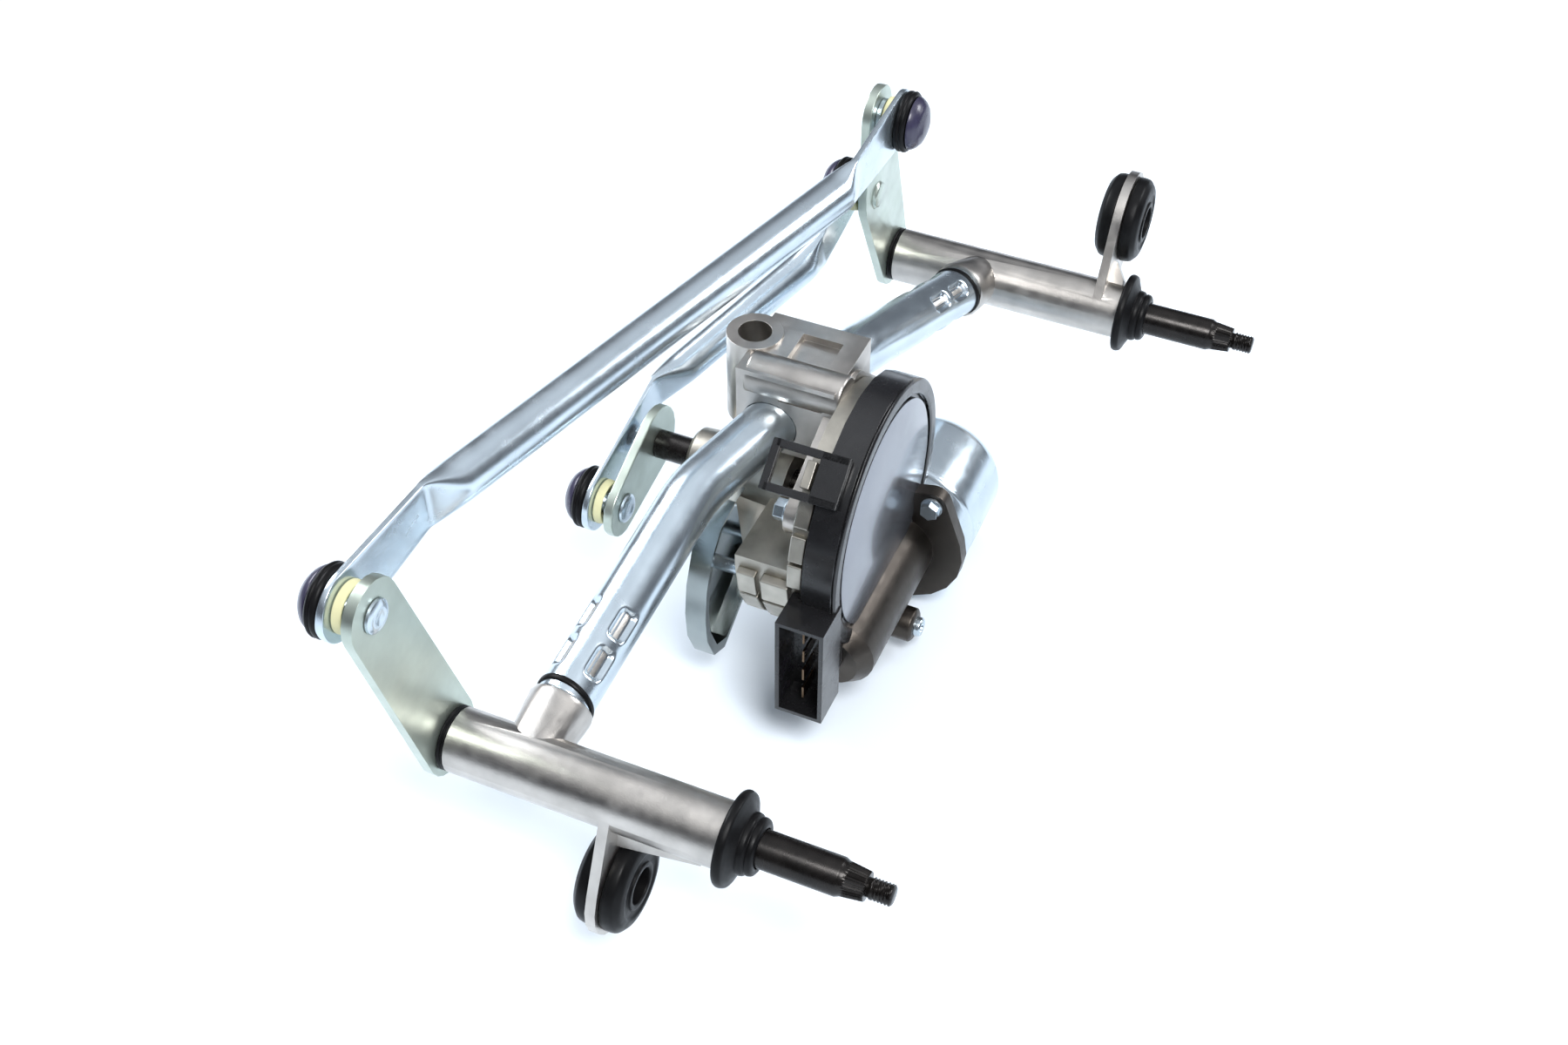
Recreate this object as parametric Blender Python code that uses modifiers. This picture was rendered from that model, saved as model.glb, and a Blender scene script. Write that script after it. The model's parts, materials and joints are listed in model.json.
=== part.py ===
"""Windshield wiper motor with its linkage, in metres, +Z up.

The origin is the flat end of the left wiper spindle. -Y runs along both spindles, out of the car,
+X runs from the left pivot to the right one, and +Z is up as the unit lies on a bench.
Stations are written in millimetres as (a, b, u): a along +X, b along +Z and u along -Y,
with u counted from the rear face of the left pivot housing.
"""
import math

import bmesh
import bpy
import numpy as np
from mathutils import Matrix, Vector

MM = 0.001
GAP = 0.3

# Pivots
PIVOT_SPACING = 335.0
RIGHT_STEP = 39.0
HOUSING_LENGTH = 106.0
HOUSING_RADIUS = 12.25
SPINDLE_RADIUS = 7.0
SPINDLE_REACH = 60.0
BUSH_WALL = 2.0
BUSH_LENGTH = 18.0
THREAD_RADIUS = 4.0
TIP_U = HOUSING_LENGTH + SPINDLE_REACH

# Mounting ears and rubber grommets
EAR_THICKNESS = 4.0
EAR_RIM_RADIUS = 21.0
GROMMET_FLANGE_RADIUS = 19.0
GROMMET_NECK_RADIUS = 13.0
GROMMET_HOLE_RADIUS = 7.0
GROMMET_LENGTH = 20.0
LEFT_EAR = (-7.0, -38.0, HOUSING_LENGTH - 42.0)
RIGHT_EAR = (27.0, 31.0, HOUSING_LENGTH - 10.0)

# Frame tube
TUBE_RADIUS = 11.0
TUBE_WALL = 1.5
TUBE_BEND_RADIUS = 60.0
TUBE_LEFT_KNEE = (120.0, 32.0, 36.0)
TUBE_RIGHT_KNEE = (215.0, 35.0, 60.0)
LEFT_SPIGOT_U = 27.0
RIGHT_SPIGOT_U = 40.0
SPIGOT_SHOULDER = 26.0
SPIGOT_LENGTH = 44.0
CRIMP_ROWS = (16.0, 33.0)

# Motor and gearbox
SHAFT_A = 166.0
SHAFT_B = 5.0
COVER_RADIUS = 55.0
COVER_WALL = 2.0
COVER_BACK_U = 84.3
COVER_FACE_U = 97.4
CASE_RADIUS = 50.0
CASE_FRONT_U = 84.0
CASE_UPPER_BACK_U = 76.5
CASE_LOWER_BACK_U = 54.0
CASE_LOWER_TOP_B = 8.0
SHAFT_RADIUS = 6.0
BOSS_RADIUS = 13.5
BOSS_END_U = 14.0
WHEEL_RADIUS = 44.0
WHEEL_TEETH = 60
WHEEL_WIDTH = 6.0
WORM_U = CASE_FRONT_U + 7.0
WORM_RADIUS = 6.6
WORM_PITCH = 4.6
WORM_B = SHAFT_B - WHEEL_RADIUS - WORM_RADIUS - 0.4
TUNNEL_RADIUS = 17.0
TUNNEL_START_A = 126.0
FLANGE_A = 200.0
FLANGE_THICKNESS = 6.0
FLANGE_RADIUS = 31.0
FLANGE_LUGS = ((27.5, 15.0), (-27.5, -15.0))
LUG_RADIUS = 6.5
CAN_SCREW_RADIUS = 2.5
CAN_RADIUS = 29.0
CAN_LENGTH = 52.0
CAN_WALL = 1.6

# Shield behind the gearbox; its outline and screws are counted from the output shaft
PLATE_U = 34.0
PLATE_THICKNESS = 2.0
PLATE_RIM = 9.0
PLATE_OUTLINE = ((-24.0, 5.0), (-38.0, 2.0), (-46.0, -6.0), (-52.0, -20.0), (-54.0, -34.0), (-53.0, -48.0),
                 (-47.0, -62.0), (-37.0, -67.0), (-22.0, -58.0), (-4.0, -48.0), (14.0, -40.0), (24.0, -26.0),
                 (26.0, -8.0), (23.0, 4.0), (0.0, 5.0))
PLATE_SCREWS = ((-34.6, -20.0), (0.0, -36.0))

# Bracket that clamps the gearbox to the tube
BRACKET_A = (165.0, 203.0)
BRACKET_B = (20.8, 58.0)
BRACKET_U = (33.0, 76.0)
BRACKET_EYE = (187.0, 31.5)
BRACKET_EYE_RADIUS = 11.5
BRACKET_HOLE_RADIUS = 6.8
BRACKET_PLATE = 6.0
SCREW_RADIUS = 3.0
SCREW_HEAD_RADIUS = 5.5
BRACKET_SCREWS = ((134.0, 22.0), (214.0, 19.0))

# Linkage
ARM_THICKNESS = 4.0
ARM_BACK_OFFSET = -3.0
CROSS_RADIUS = 94.0
CROSS_ANGLE = math.radians(107.0)
DRIVE_RADIUS = 57.0
DRIVE_ANGLE = math.radians(119.0)
SWEEP = math.radians(76.0)
ARM_ROOT_RADIUS = 15.0
ARM_TIP_RADIUS = 13.0
CRANK_HUB_RADIUS = 16.0
CRANK_TIP_RADIUS = 12.5
CRANK_U = -3.0
BALL_RADIUS = 6.5
BALL_STANDOFF = 10.4
LINK_PLATE = (6.5, 9.5)
LINK_EYE_RADIUS = 13.0
LINK_HOLE_RADIUS = 8.3
CROSS_TUBE_RADIUS = 8.4
DRIVE_TUBE_RADIUS = 7.6
CROSS_FLAT_LENGTHS = (48.0, 48.0)
DRIVE_FLAT_LENGTHS = (54.0, 34.0)
LINK_SWELL = 16.0

# Connector, which opens towards -X
CONNECTOR_MOUTH_A = 99.0
CONNECTOR_MIDDLE_B = -27.0
CONNECTOR_HEIGHT = 50.0
CONNECTOR_DEPTH = 20.0
CONNECTOR_WALL = 1.8
CONNECTOR_CAVITY = 15.0
CONNECTOR_STEM_A = 150.0
TERMINALS = 4

SEGMENTS = 24
SMALL_SEGMENTS = 12


def start_scene():
    """Empties the scene and makes one collection for the parts and one for the cutters."""
    for item in list(bpy.data.objects):
        bpy.data.objects.remove(item)
    groups = []
    for title in ("wiper_motor_linkage", "cutters"):
        group = bpy.data.collections.new(title)
        bpy.context.scene.collection.children.link(group)
        groups.append(group)
    return groups


PARTS, CUTTERS = start_scene()


def material(name, color, roughness, metallic):
    """A Principled material with the colour, roughness and metallic value of one finish."""
    made = bpy.data.materials.new(name)
    made.use_nodes = True
    shader = made.node_tree.nodes["Principled BSDF"]
    shader.inputs["Base Color"].default_value = (*color, 1.0)
    shader.inputs["Roughness"].default_value = roughness
    shader.inputs["Metallic"].default_value = metallic
    return made


CAST = material("cast_aluminium", (0.52, 0.51, 0.50), 0.45, 1.0)
ZINC = material("zinc_plated_steel", (0.70, 0.75, 0.80), 0.25, 1.0)
PASSIVATED = material("passivated_steel", (0.62, 0.68, 0.62), 0.35, 1.0)
BLACK_STEEL = material("blackened_steel", (0.03, 0.03, 0.03), 0.35, 0.9)
RUBBER = material("black_rubber", (0.02, 0.02, 0.02), 0.7, 0.0)
BLACK_PLASTIC = material("black_plastic", (0.025, 0.025, 0.028), 0.4, 0.0)
CREAM_PLASTIC = material("cream_plastic", (0.80, 0.76, 0.50), 0.5, 0.0)
BRONZE = material("sintered_bronze", (0.45, 0.30, 0.15), 0.5, 1.0)
MAGNET = material("magnet_ferrite", (0.10, 0.10, 0.11), 0.6, 0.0)
COPPER = material("copper", (0.72, 0.35, 0.20), 0.3, 1.0)


def station(a, b, u):
    """The point at a station given in millimetres."""
    return Vector((a, TIP_U - u, b)) * MM


def heading(a, b, u):
    """The direction of a vector given as a station difference."""
    return Vector((a, -u, b)).normalized()


ALONG_U = heading(0, 0, 1)
ALONG_A = heading(1, 0, 0)
ALONG_B = heading(0, 1, 0)


def place(item, origin, axis, side=None):
    """Puts an object at origin with its own Z along axis and, where side is given, its X along side."""
    z = Vector(axis).normalized()
    x = Vector(side) if side is not None else z.orthogonal()
    x = (x - z * x.dot(z)).normalized()
    y = z.cross(x)
    turn = Matrix((x, y, z)).transposed().to_4x4()
    item.matrix_world = Matrix.Translation(origin) @ turn


def add_object(name, mesh, finish, group=None):
    """Links a new object, in the parts collection unless another is given."""
    item = bpy.data.objects.new(name, mesh)
    (group or PARTS).objects.link(item)
    if finish is not None:
        mesh.materials.append(finish)
    return item


def add_cutter(name, mesh):
    """Links a cutter, which the render leaves out."""
    item = add_object(name, mesh, None, CUTTERS)
    item.hide_render = True
    item.display_type = "WIRE"
    return item


def finish_object(item):
    """Updates the scene, so that later modifiers read the object's place."""
    bpy.context.view_layer.update()
    return item


def smooth(item, degrees=35.0):
    """Shades an object smooth and keeps its sharp edges."""
    item.data.shade_smooth()
    item.data.set_sharp_from_angle(angle=math.radians(degrees))


def turned(name, profile, finish, origin, axis, closed=False, steps=SEGMENTS, cutter=False):
    """A turned piece: (radius, height) points in mm, down the outer side, spun about its own Z."""
    mesh = bpy.data.meshes.new(name)
    points = [(r * MM, 0.0, h * MM) for r, h in profile]
    edges = [(i, i + 1) for i in range(len(points) - 1)]
    if closed:
        edges.append((len(points) - 1, 0))
    mesh.from_pydata(points, edges, [])
    item = add_cutter(name, mesh) if cutter else add_object(name, mesh, finish)
    spin = item.modifiers.new("spin", "SCREW")
    spin.steps = steps
    spin.render_steps = steps
    spin.use_merge_vertices = True
    spin.merge_threshold = 0.00001
    spin.use_smooth_shade = False
    place(item, origin, axis)
    return finish_object(item)


def rod(name, radius, length, finish, origin, axis, steps=SEGMENTS, cutter=False):
    """A plain round bar, from origin along axis."""
    profile = [(0, length), (radius, length), (radius, 0), (0, 0)]
    return turned(name, profile, finish, origin, axis, steps=steps, cutter=cutter)


def ring(name, inner, outer, length, finish, origin, axis, steps=SEGMENTS, cutter=False):
    """A plain round sleeve, from origin along axis."""
    profile = [(inner, length), (outer, length), (outer, 0), (inner, 0)]
    return turned(name, profile, finish, origin, axis, True, steps, cutter)


def box(name, low, high, finish=None, cutter=False):
    """A box between two stations."""
    corners = [station(*low), station(*high)]
    size = [abs(corners[1][i] - corners[0][i]) for i in range(3)]
    mesh = bpy.data.meshes.new(name)
    work = bmesh.new()
    bmesh.ops.create_cube(work, size=1.0)
    bmesh.ops.scale(work, vec=size, verts=work.verts)
    work.to_mesh(mesh)
    work.free()
    item = add_cutter(name, mesh) if cutter else add_object(name, mesh, finish)
    item.location = (corners[0] + corners[1]) / 2
    return finish_object(item)


def mesh_from(item, name, finish, cutter=False):
    """Replaces a curve object by its closed mesh in the same place."""
    graph = bpy.context.evaluated_depsgraph_get()
    graph.update()
    mesh = bpy.data.meshes.new_from_object(item.evaluated_get(graph))
    mesh.materials.clear()
    work = bmesh.new()
    work.from_mesh(mesh)
    bmesh.ops.remove_doubles(work, verts=work.verts, dist=0.000005)
    bmesh.ops.recalc_face_normals(work, faces=work.faces)
    work.to_mesh(mesh)
    work.free()
    made = add_cutter(name, mesh) if cutter else add_object(name, mesh, finish)
    made.matrix_world = item.matrix_world
    bpy.data.objects.remove(item)
    return finish_object(made)


def plate(name, outline, thickness, finish, origin, axis, side, cutter=False):
    """A flat piece: a closed outline in mm in the plane across axis, X along side, raised along axis."""
    curve = bpy.data.curves.new(name + "_outline", "CURVE")
    curve.dimensions = "2D"
    curve.fill_mode = "BOTH"
    curve.extrude = thickness / 2 * MM
    spline = curve.splines.new("POLY")
    spline.points.add(len(outline) - 1)
    for point, (x, y) in zip(spline.points, outline):
        point.co = (x * MM, y * MM, 0.0, 1.0)
    spline.use_cyclic_u = True
    item = bpy.data.objects.new(name + "_outline", curve)
    PARTS.objects.link(item)
    z = Vector(axis).normalized()
    place(item, Vector(origin) + z * (thickness / 2 * MM), axis, side)
    bpy.context.view_layer.update()
    return mesh_from(item, name, finish, cutter)


def sweep(name, points, radius, finish, cutter=False, resolution=8):
    """A round bar along a list of world points, in metres, with a radius in mm."""
    curve = bpy.data.curves.new(name + "_path", "CURVE")
    curve.dimensions = "3D"
    curve.bevel_depth = radius * MM
    curve.bevel_resolution = resolution
    curve.use_fill_caps = True
    spline = curve.splines.new("POLY")
    spline.points.add(len(points) - 1)
    for point, place_at in zip(spline.points, points):
        point.co = (*place_at, 1.0)
    item = bpy.data.objects.new(name + "_path", curve)
    PARTS.objects.link(item)
    bpy.context.view_layer.update()
    return mesh_from(item, name, finish, cutter)


def combine(item, other, operation):
    """Adds an exact Boolean of item with other, which becomes a hidden cutter."""
    if other.name in PARTS.objects:
        PARTS.objects.unlink(other)
        CUTTERS.objects.link(other)
        other.hide_render = True
        other.display_type = "WIRE"
    step = item.modifiers.new(operation.lower(), "BOOLEAN")
    step.operation = operation
    step.solver = "EXACT"
    step.object = other
    return item


def join(item, *others):
    """Fuses other shapes with item."""
    for other in others:
        combine(item, other, "UNION")
    return item


def cut(item, *others):
    """Takes other shapes out of item."""
    for other in others:
        combine(item, other, "DIFFERENCE")
    return item


def soften(item, width, segments=1, degrees=40.0):
    """Rounds the sharp edges of a piece."""
    bevel = item.modifiers.new("soften", "BEVEL")
    bevel.width = width * MM
    bevel.segments = segments
    bevel.limit_method = "ANGLE"
    bevel.angle_limit = math.radians(degrees)
    bevel.use_clamp_overlap = True
    return item


def circle_points(x, y, radius, count=20, start=0.0, stop=2 * math.pi):
    """Points on an arc, without its last one where the arc closes."""
    full = abs(stop - start - 2 * math.pi) < 1e-9
    steps = count if full else count + 1
    angles = [start + (stop - start) * i / count for i in range(steps)]
    return [(x + radius * math.cos(t), y + radius * math.sin(t)) for t in angles]


def hull_outline(circles, count=20):
    """The outline of a band drawn tight round several circles, each (x, y, radius)."""
    points = sorted(set(p for x, y, r in circles for p in circle_points(x, y, r, count)))
    def half(ordered):
        chain = []
        for p in ordered:
            while len(chain) > 1:
                (x0, y0), (x1, y1) = chain[-2], chain[-1]
                if (x1 - x0) * (p[1] - y0) - (y1 - y0) * (p[0] - x0) > 1e-9:
                    break
                chain.pop()
            chain.append(p)
        return chain[:-1]
    return half(points) + half(points[::-1])


def hexagon(across_flats):
    """The outline of a hexagon."""
    return circle_points(0, 0, across_flats / math.sqrt(3), 6)


def fillet_path(corners, radius, step_angle=math.radians(6.0)):
    """Points along straight runs between corners, with each inner corner rounded to a radius."""
    points = [corners[0]]
    for before, corner, after in zip(corners, corners[1:], corners[2:]):
        back = (before - corner).normalized()
        ahead = (after - corner).normalized()
        turn = math.pi - back.angle(ahead)
        inset = radius * MM * math.tan(turn / 2)
        centre = corner + (back + ahead).normalized() * (radius * MM / math.cos(turn / 2))
        start = corner + back * inset - centre
        stop = corner + ahead * inset - centre
        count = max(2, int(turn / step_angle) + 1)
        for i in range(count + 1):
            share = i / count
            weight_start = math.sin((1 - share) * turn) / math.sin(turn)
            weight_stop = math.sin(share * turn) / math.sin(turn)
            points.append(centre + start * weight_start + stop * weight_stop)
    points.append(corners[-1])
    return points


def polar(radius, angle):
    """A point in the a, b plane."""
    return radius * math.cos(angle), radius * math.sin(angle)


LEFT_BALL = polar(CROSS_RADIUS, CROSS_ANGLE)
RIGHT_BALL = (PIVOT_SPACING + LEFT_BALL[0], LEFT_BALL[1])
DRIVE_BALL = (
    PIVOT_SPACING + polar(DRIVE_RADIUS, DRIVE_ANGLE)[0],
    polar(DRIVE_RADIUS, DRIVE_ANGLE)[1],
)
DRIVE_BALL_FAR = (
    PIVOT_SPACING + polar(DRIVE_RADIUS, DRIVE_ANGLE - SWEEP)[0],
    polar(DRIVE_RADIUS, DRIVE_ANGLE - SWEEP)[1],
)
NEAR_REACH = math.dist((SHAFT_A, SHAFT_B), DRIVE_BALL)
FAR_REACH = math.dist((SHAFT_A, SHAFT_B), DRIVE_BALL_FAR)
CRANK_RADIUS = (FAR_REACH - NEAR_REACH) / 2
CRANK_BALL = (
    SHAFT_A - (DRIVE_BALL[0] - SHAFT_A) / NEAR_REACH * CRANK_RADIUS,
    SHAFT_B - (DRIVE_BALL[1] - SHAFT_B) / NEAR_REACH * CRANK_RADIUS,
)


class Pivot:
    """The place of one spindle: its axis, the station of its housing and where its ear and spigot are."""

    def __init__(self, side, a, u, ear, knee, spigot_u):
        self.side = side
        self.a = a
        self.u = u
        self.ear = (a + ear[0], ear[1], u + ear[2])
        self.spigot = station(a, 0, u + spigot_u)
        self.along = (station(*knee) - self.spigot).normalized()
        self.mouth = self.spigot + self.along * (SPIGOT_SHOULDER * MM)

    def at(self, u):
        """A point on the spindle's axis, u mm in front of the housing's rear face."""
        return station(self.a, 0, self.u + u)


LEFT = Pivot("left", 0.0, 0.0, LEFT_EAR, TUBE_LEFT_KNEE, LEFT_SPIGOT_U)
RIGHT = Pivot("right", PIVOT_SPACING, RIGHT_STEP, RIGHT_EAR, TUBE_RIGHT_KNEE, RIGHT_SPIGOT_U)


def pivot_housing(pivot):
    """Die-cast housing: the bored barrel, the neck and plug that hold the tube, and the grommet ear."""
    name = pivot.side + "_pivot_housing"
    barrel = rod(name, HOUSING_RADIUS, HOUSING_LENGTH, CAST, pivot.at(0), ALONG_U)
    plug_radius = TUBE_RADIUS - TUBE_WALL - GAP
    plug_end = SPIGOT_SHOULDER + SPIGOT_LENGTH
    neck_profile = [(0, plug_end), (plug_radius - 1.0, plug_end), (plug_radius, plug_end - 2.0),
                    (plug_radius, SPIGOT_SHOULDER), (TUBE_RADIUS + 1.0, SPIGOT_SHOULDER),
                    (TUBE_RADIUS + 1.6, SPIGOT_SHOULDER - 2.0), (TUBE_RADIUS - 0.6, 0), (0, 0)]
    neck = turned(name + "_neck", neck_profile, CAST, pivot.spigot, pivot.along, steps=20)
    ear_a, ear_b, ear_u = pivot.ear
    reach = (ear_a - pivot.a, ear_b)
    distance = math.hypot(*reach)
    side = heading(reach[0], reach[1], 0)
    ear_origin = station(pivot.a, 0, ear_u - EAR_THICKNESS / 2)
    outline = hull_outline([(0, 0, HOUSING_RADIUS - 1.0), (distance, 0, EAR_RIM_RADIUS)])
    ear = plate(name + "_ear", outline, EAR_THICKNESS, CAST, ear_origin, ALONG_U, side)
    gusset_start = 3.0
    gusset_end = min(HOUSING_LENGTH - 2.0, ear_u - pivot.u + 34.0) - (ear_u - pivot.u)
    rib_reach = distance - GROMMET_FLANGE_RADIUS - 1.5
    rib_foot = HOUSING_RADIUS - 3.0
    rib_lines = [(0, rib_foot), (gusset_end, rib_foot), (gusset_end, HOUSING_RADIUS + 1.0),
                 (gusset_start, rib_reach), (0, rib_reach)]
    rib_width = 10.0
    across = ALONG_U.cross(side).normalized()
    rib = plate(name + "_rib", rib_lines, rib_width, CAST,
                station(pivot.a, 0, ear_u) - across * (rib_width / 2 * MM), across, ALONG_U)
    join(barrel, neck, ear, rib)
    bore_radius = SPINDLE_RADIUS + BUSH_WALL + 2 * GAP
    bore = rod(name + "_bore", bore_radius, HOUSING_LENGTH + 4.0, None, pivot.at(-2.0), ALONG_U,
               cutter=True)
    hole = rod(name + "_grommet_hole", GROMMET_NECK_RADIUS + GAP, EAR_THICKNESS + 4.0, None,
               station(ear_a, ear_b, ear_u - EAR_THICKNESS / 2 - 2.0), ALONG_U, cutter=True)
    cut(barrel, bore, hole)
    return barrel


def bushes(pivot):
    """The two sintered bushes that the spindle turns in, at the ends of the housing's bore."""
    inner = SPINDLE_RADIUS + GAP
    outer = inner + BUSH_WALL
    last = HOUSING_LENGTH - BUSH_LENGTH - 1.0
    for label, start in (("rear", 1.0), ("front", last)):
        ring(f"{pivot.side}_{label}_bush", inner, outer, BUSH_LENGTH, BRONZE, pivot.at(start), ALONG_U)


def grommet(pivot):
    """Rubber isolating grommet, with the groove that snaps into the ear."""
    half = GROMMET_LENGTH / 2
    groove = EAR_THICKNESS / 2 + GAP
    wide, neck, hole = GROMMET_FLANGE_RADIUS, GROMMET_NECK_RADIUS, GROMMET_HOLE_RADIUS
    profile = [(hole, half), (wide - 6.0, half), (wide - 1.5, half - 2.0), (wide, half - 4.5), (wide, groove),
               (neck, groove), (neck, -groove), (wide, -groove), (wide, 4.5 - half),
               (wide - 1.5, 2.0 - half), (wide - 6.0, -half), (hole, -half)]
    turned(pivot.side + "_grommet", profile, RUBBER, station(*pivot.ear), ALONG_U, True)


def rear_seal(pivot):
    """Rubber ring between the arm and the housing's rear face."""
    thickness = -ARM_BACK_OFFSET - 2 * GAP
    ring(pivot.side + "_rear_seal", SPINDLE_RADIUS + GAP, HOUSING_RADIUS, thickness, RUBBER,
         pivot.at(ARM_BACK_OFFSET + GAP), ALONG_U)


def circlip(pivot):
    """Spring ring in front of the housing, with its open gap."""
    name = pivot.side + "_circlip"
    clip = ring(name, SPINDLE_RADIUS + GAP, SPINDLE_RADIUS + 3.0, 1.2, BLACK_STEEL,
                pivot.at(HOUSING_LENGTH + GAP), ALONG_U)
    slot = 5.0
    low = (pivot.a + 2.0, -slot / 2, pivot.u + HOUSING_LENGTH - 1.0)
    high = (pivot.a + 14.0, slot / 2, pivot.u + HOUSING_LENGTH + 3.0)
    cut(clip, box(name + "_slot", low, high, cutter=True))


def front_seal(pivot):
    """Rubber cap with a wide skirt that keeps water out of the spindle's front end."""
    base = HOUSING_LENGTH + GAP
    inner = SPINDLE_RADIUS + GAP
    pocket = SPINDLE_RADIUS + 3.0 + 2 * GAP
    profile = [(inner, 12.0), (inner + 1.6, 12.0), (inner + 3.4, 10.5), (inner + 4.4, 6.0), (17.0, 3.4),
               (17.5, 1.6), (17.0, 0.0), (pocket, 0.0), (pocket, 1.8), (inner, 1.8)]
    turned(pivot.side + "_front_seal", profile, RUBBER, pivot.at(base), ALONG_U, True)


def spindle(pivot):
    """Wiper spindle: riveted rear end, bearing length, knurled cone and threaded tip."""
    shank = SPINDLE_RADIUS - 2.0
    head = ARM_BACK_OFFSET - ARM_THICKNESS - GAP
    tip = HOUSING_LENGTH + SPINDLE_REACH
    cone_start, cone_end = tip - 18.0, tip - 9.5
    profile = [(0, tip), (THREAD_RADIUS - 0.7, tip), (THREAD_RADIUS, tip - 0.8),
               (THREAD_RADIUS, cone_end + 1.5), (THREAD_RADIUS - 0.6, cone_end + 1.2),
               (THREAD_RADIUS - 0.6, cone_end), (5.3, cone_end), (6.3, cone_start), (SPINDLE_RADIUS, cone_start - 1.0),
               (SPINDLE_RADIUS, ARM_BACK_OFFSET + GAP), (shank, ARM_BACK_OFFSET + GAP),
               (shank, head), (shank + 2.5, head), (shank + 2.0, head - 1.8), (0, head - 2.2)]
    turned(pivot.side + "_spindle", profile, BLACK_STEEL, pivot.at(0), ALONG_U)


def frame_tube():
    """Bent steel tube over both plugs, with the two rows of crimp windows at each end."""
    left_end = LEFT.mouth + LEFT.along * (GAP * MM)
    right_end = RIGHT.mouth + RIGHT.along * (GAP * MM)
    knees = [station(*TUBE_LEFT_KNEE), station(*TUBE_RIGHT_KNEE)]
    outer = sweep("frame_tube", fillet_path([left_end, *knees, right_end], TUBE_BEND_RADIUS),
                  TUBE_RADIUS, ZINC)
    longer = 3.0 * MM
    inner_path = fillet_path(
        [left_end - LEFT.along * longer, *knees, right_end - RIGHT.along * longer], TUBE_BEND_RADIUS)
    cut(outer, sweep("tube_bore", inner_path, TUBE_RADIUS - TUBE_WALL, None, True))
    window = hull_outline([(-3.5, 0, 3.6), (3.5, 0, 3.6)], 8)
    for pivot in (LEFT, RIGHT):
        up = (ALONG_B - pivot.along * ALONG_B.dot(pivot.along)).normalized()
        across = pivot.along.cross(up).normalized()
        for row, distance in enumerate(CRIMP_ROWS):
            for turn in (45.0, 135.0, 225.0, 315.0):
                angle = math.radians(turn)
                out = up * math.cos(angle) + across * math.sin(angle)
                start = pivot.mouth + pivot.along * (distance * MM) + out * ((TUBE_RADIUS - TUBE_WALL - GAP / 2) * MM)
                name = f"{pivot.side}_crimp_{row}_{int(turn)}"
                cut(outer, plate(name, window, TUBE_WALL * 3, None, start, out, pivot.along, True))
    return knees


def tube_clearance(name, knees):
    """A cutter that follows the tube with running room."""
    path = fillet_path([LEFT.mouth, *knees, RIGHT.mouth], TUBE_BEND_RADIUS)
    return sweep(name, path, TUBE_RADIUS + GAP, None, True)


def motor_bracket(knees):
    """Cast block crimped round the tube, with the third mounting eye and the gearbox's bolting plate."""
    (a0, a1), (b0, b1), (u0, u1) = BRACKET_A, BRACKET_B, BRACKET_U
    block = box("motor_bracket", (a0, b0, u0), (a1, b1, u1 - 1.5), CAST)
    eye_a, eye_u = BRACKET_EYE
    eye = rod("bracket_eye", BRACKET_EYE_RADIUS, b1 - b0 + 3.0, CAST, station(eye_a, b0 - 1.5, eye_u), ALONG_B)
    screw_circles = [(a, b, SCREW_HEAD_RADIUS + 2.5) for a, b in BRACKET_SCREWS]
    outline = hull_outline([*screw_circles, ((a0 + a1) / 2, b1 - 14.0, 10.0)])
    flange = plate("bracket_plate", outline, BRACKET_PLATE, CAST, station(0, 0, u1 - BRACKET_PLATE), ALONG_U,
                   ALONG_A)
    pocket = box("bracket_pocket", (a0 - 5.0, b1 - 11.0, u1 - 25.0), (a0 + 14.0, b1 - 7.0, u1 - BRACKET_PLATE - 0.6), cutter=True)
    top_groove = box("bracket_groove", (a0 + 12.0, b1 - 3.0, u0 + 16.0), (a1 - 8.0, b1 + 5.0, u1 - 10.0), cutter=True)
    hole = rod("bracket_hole", BRACKET_HOLE_RADIUS, b1 - b0 + 8.0, None, station(eye_a, b0 - 4.0, eye_u), ALONG_B,
               cutter=True)
    for index, (a, b) in enumerate(BRACKET_SCREWS):
        cut(flange, rod(f"bracket_screw_hole_{index}", SCREW_RADIUS + GAP, BRACKET_PLATE + 6.0, None,
                        station(a, b, u1 - BRACKET_PLATE - 3.0), ALONG_U, SMALL_SEGMENTS, True))
    join(block, eye, flange)
    cut(block, tube_clearance("bracket_tube_bore", knees), pocket, top_groove, hole)


def bracket_screws():
    """Flanged hexagon screws that hold the gearbox to the bracket."""
    under_head = BRACKET_U[1] - BRACKET_PLATE - GAP
    length = CASE_FRONT_U - 2.0 - under_head
    for index, (a, b) in enumerate(BRACKET_SCREWS):
        name = f"bracket_screw_{index + 1}"
        profile = [(0, length), (SCREW_RADIUS, length), (SCREW_RADIUS, 0), (SCREW_HEAD_RADIUS, 0),
                   (SCREW_HEAD_RADIUS, -1.2), (0, -1.2)]
        body = turned(name, profile, ZINC, station(a, b, under_head), ALONG_U, steps=SMALL_SEGMENTS)
        head = plate(name + "_head", hexagon(8.0), 5.0, ZINC, station(a, b, under_head - 5.5), ALONG_U, ALONG_A)
        join(body, head)


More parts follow.
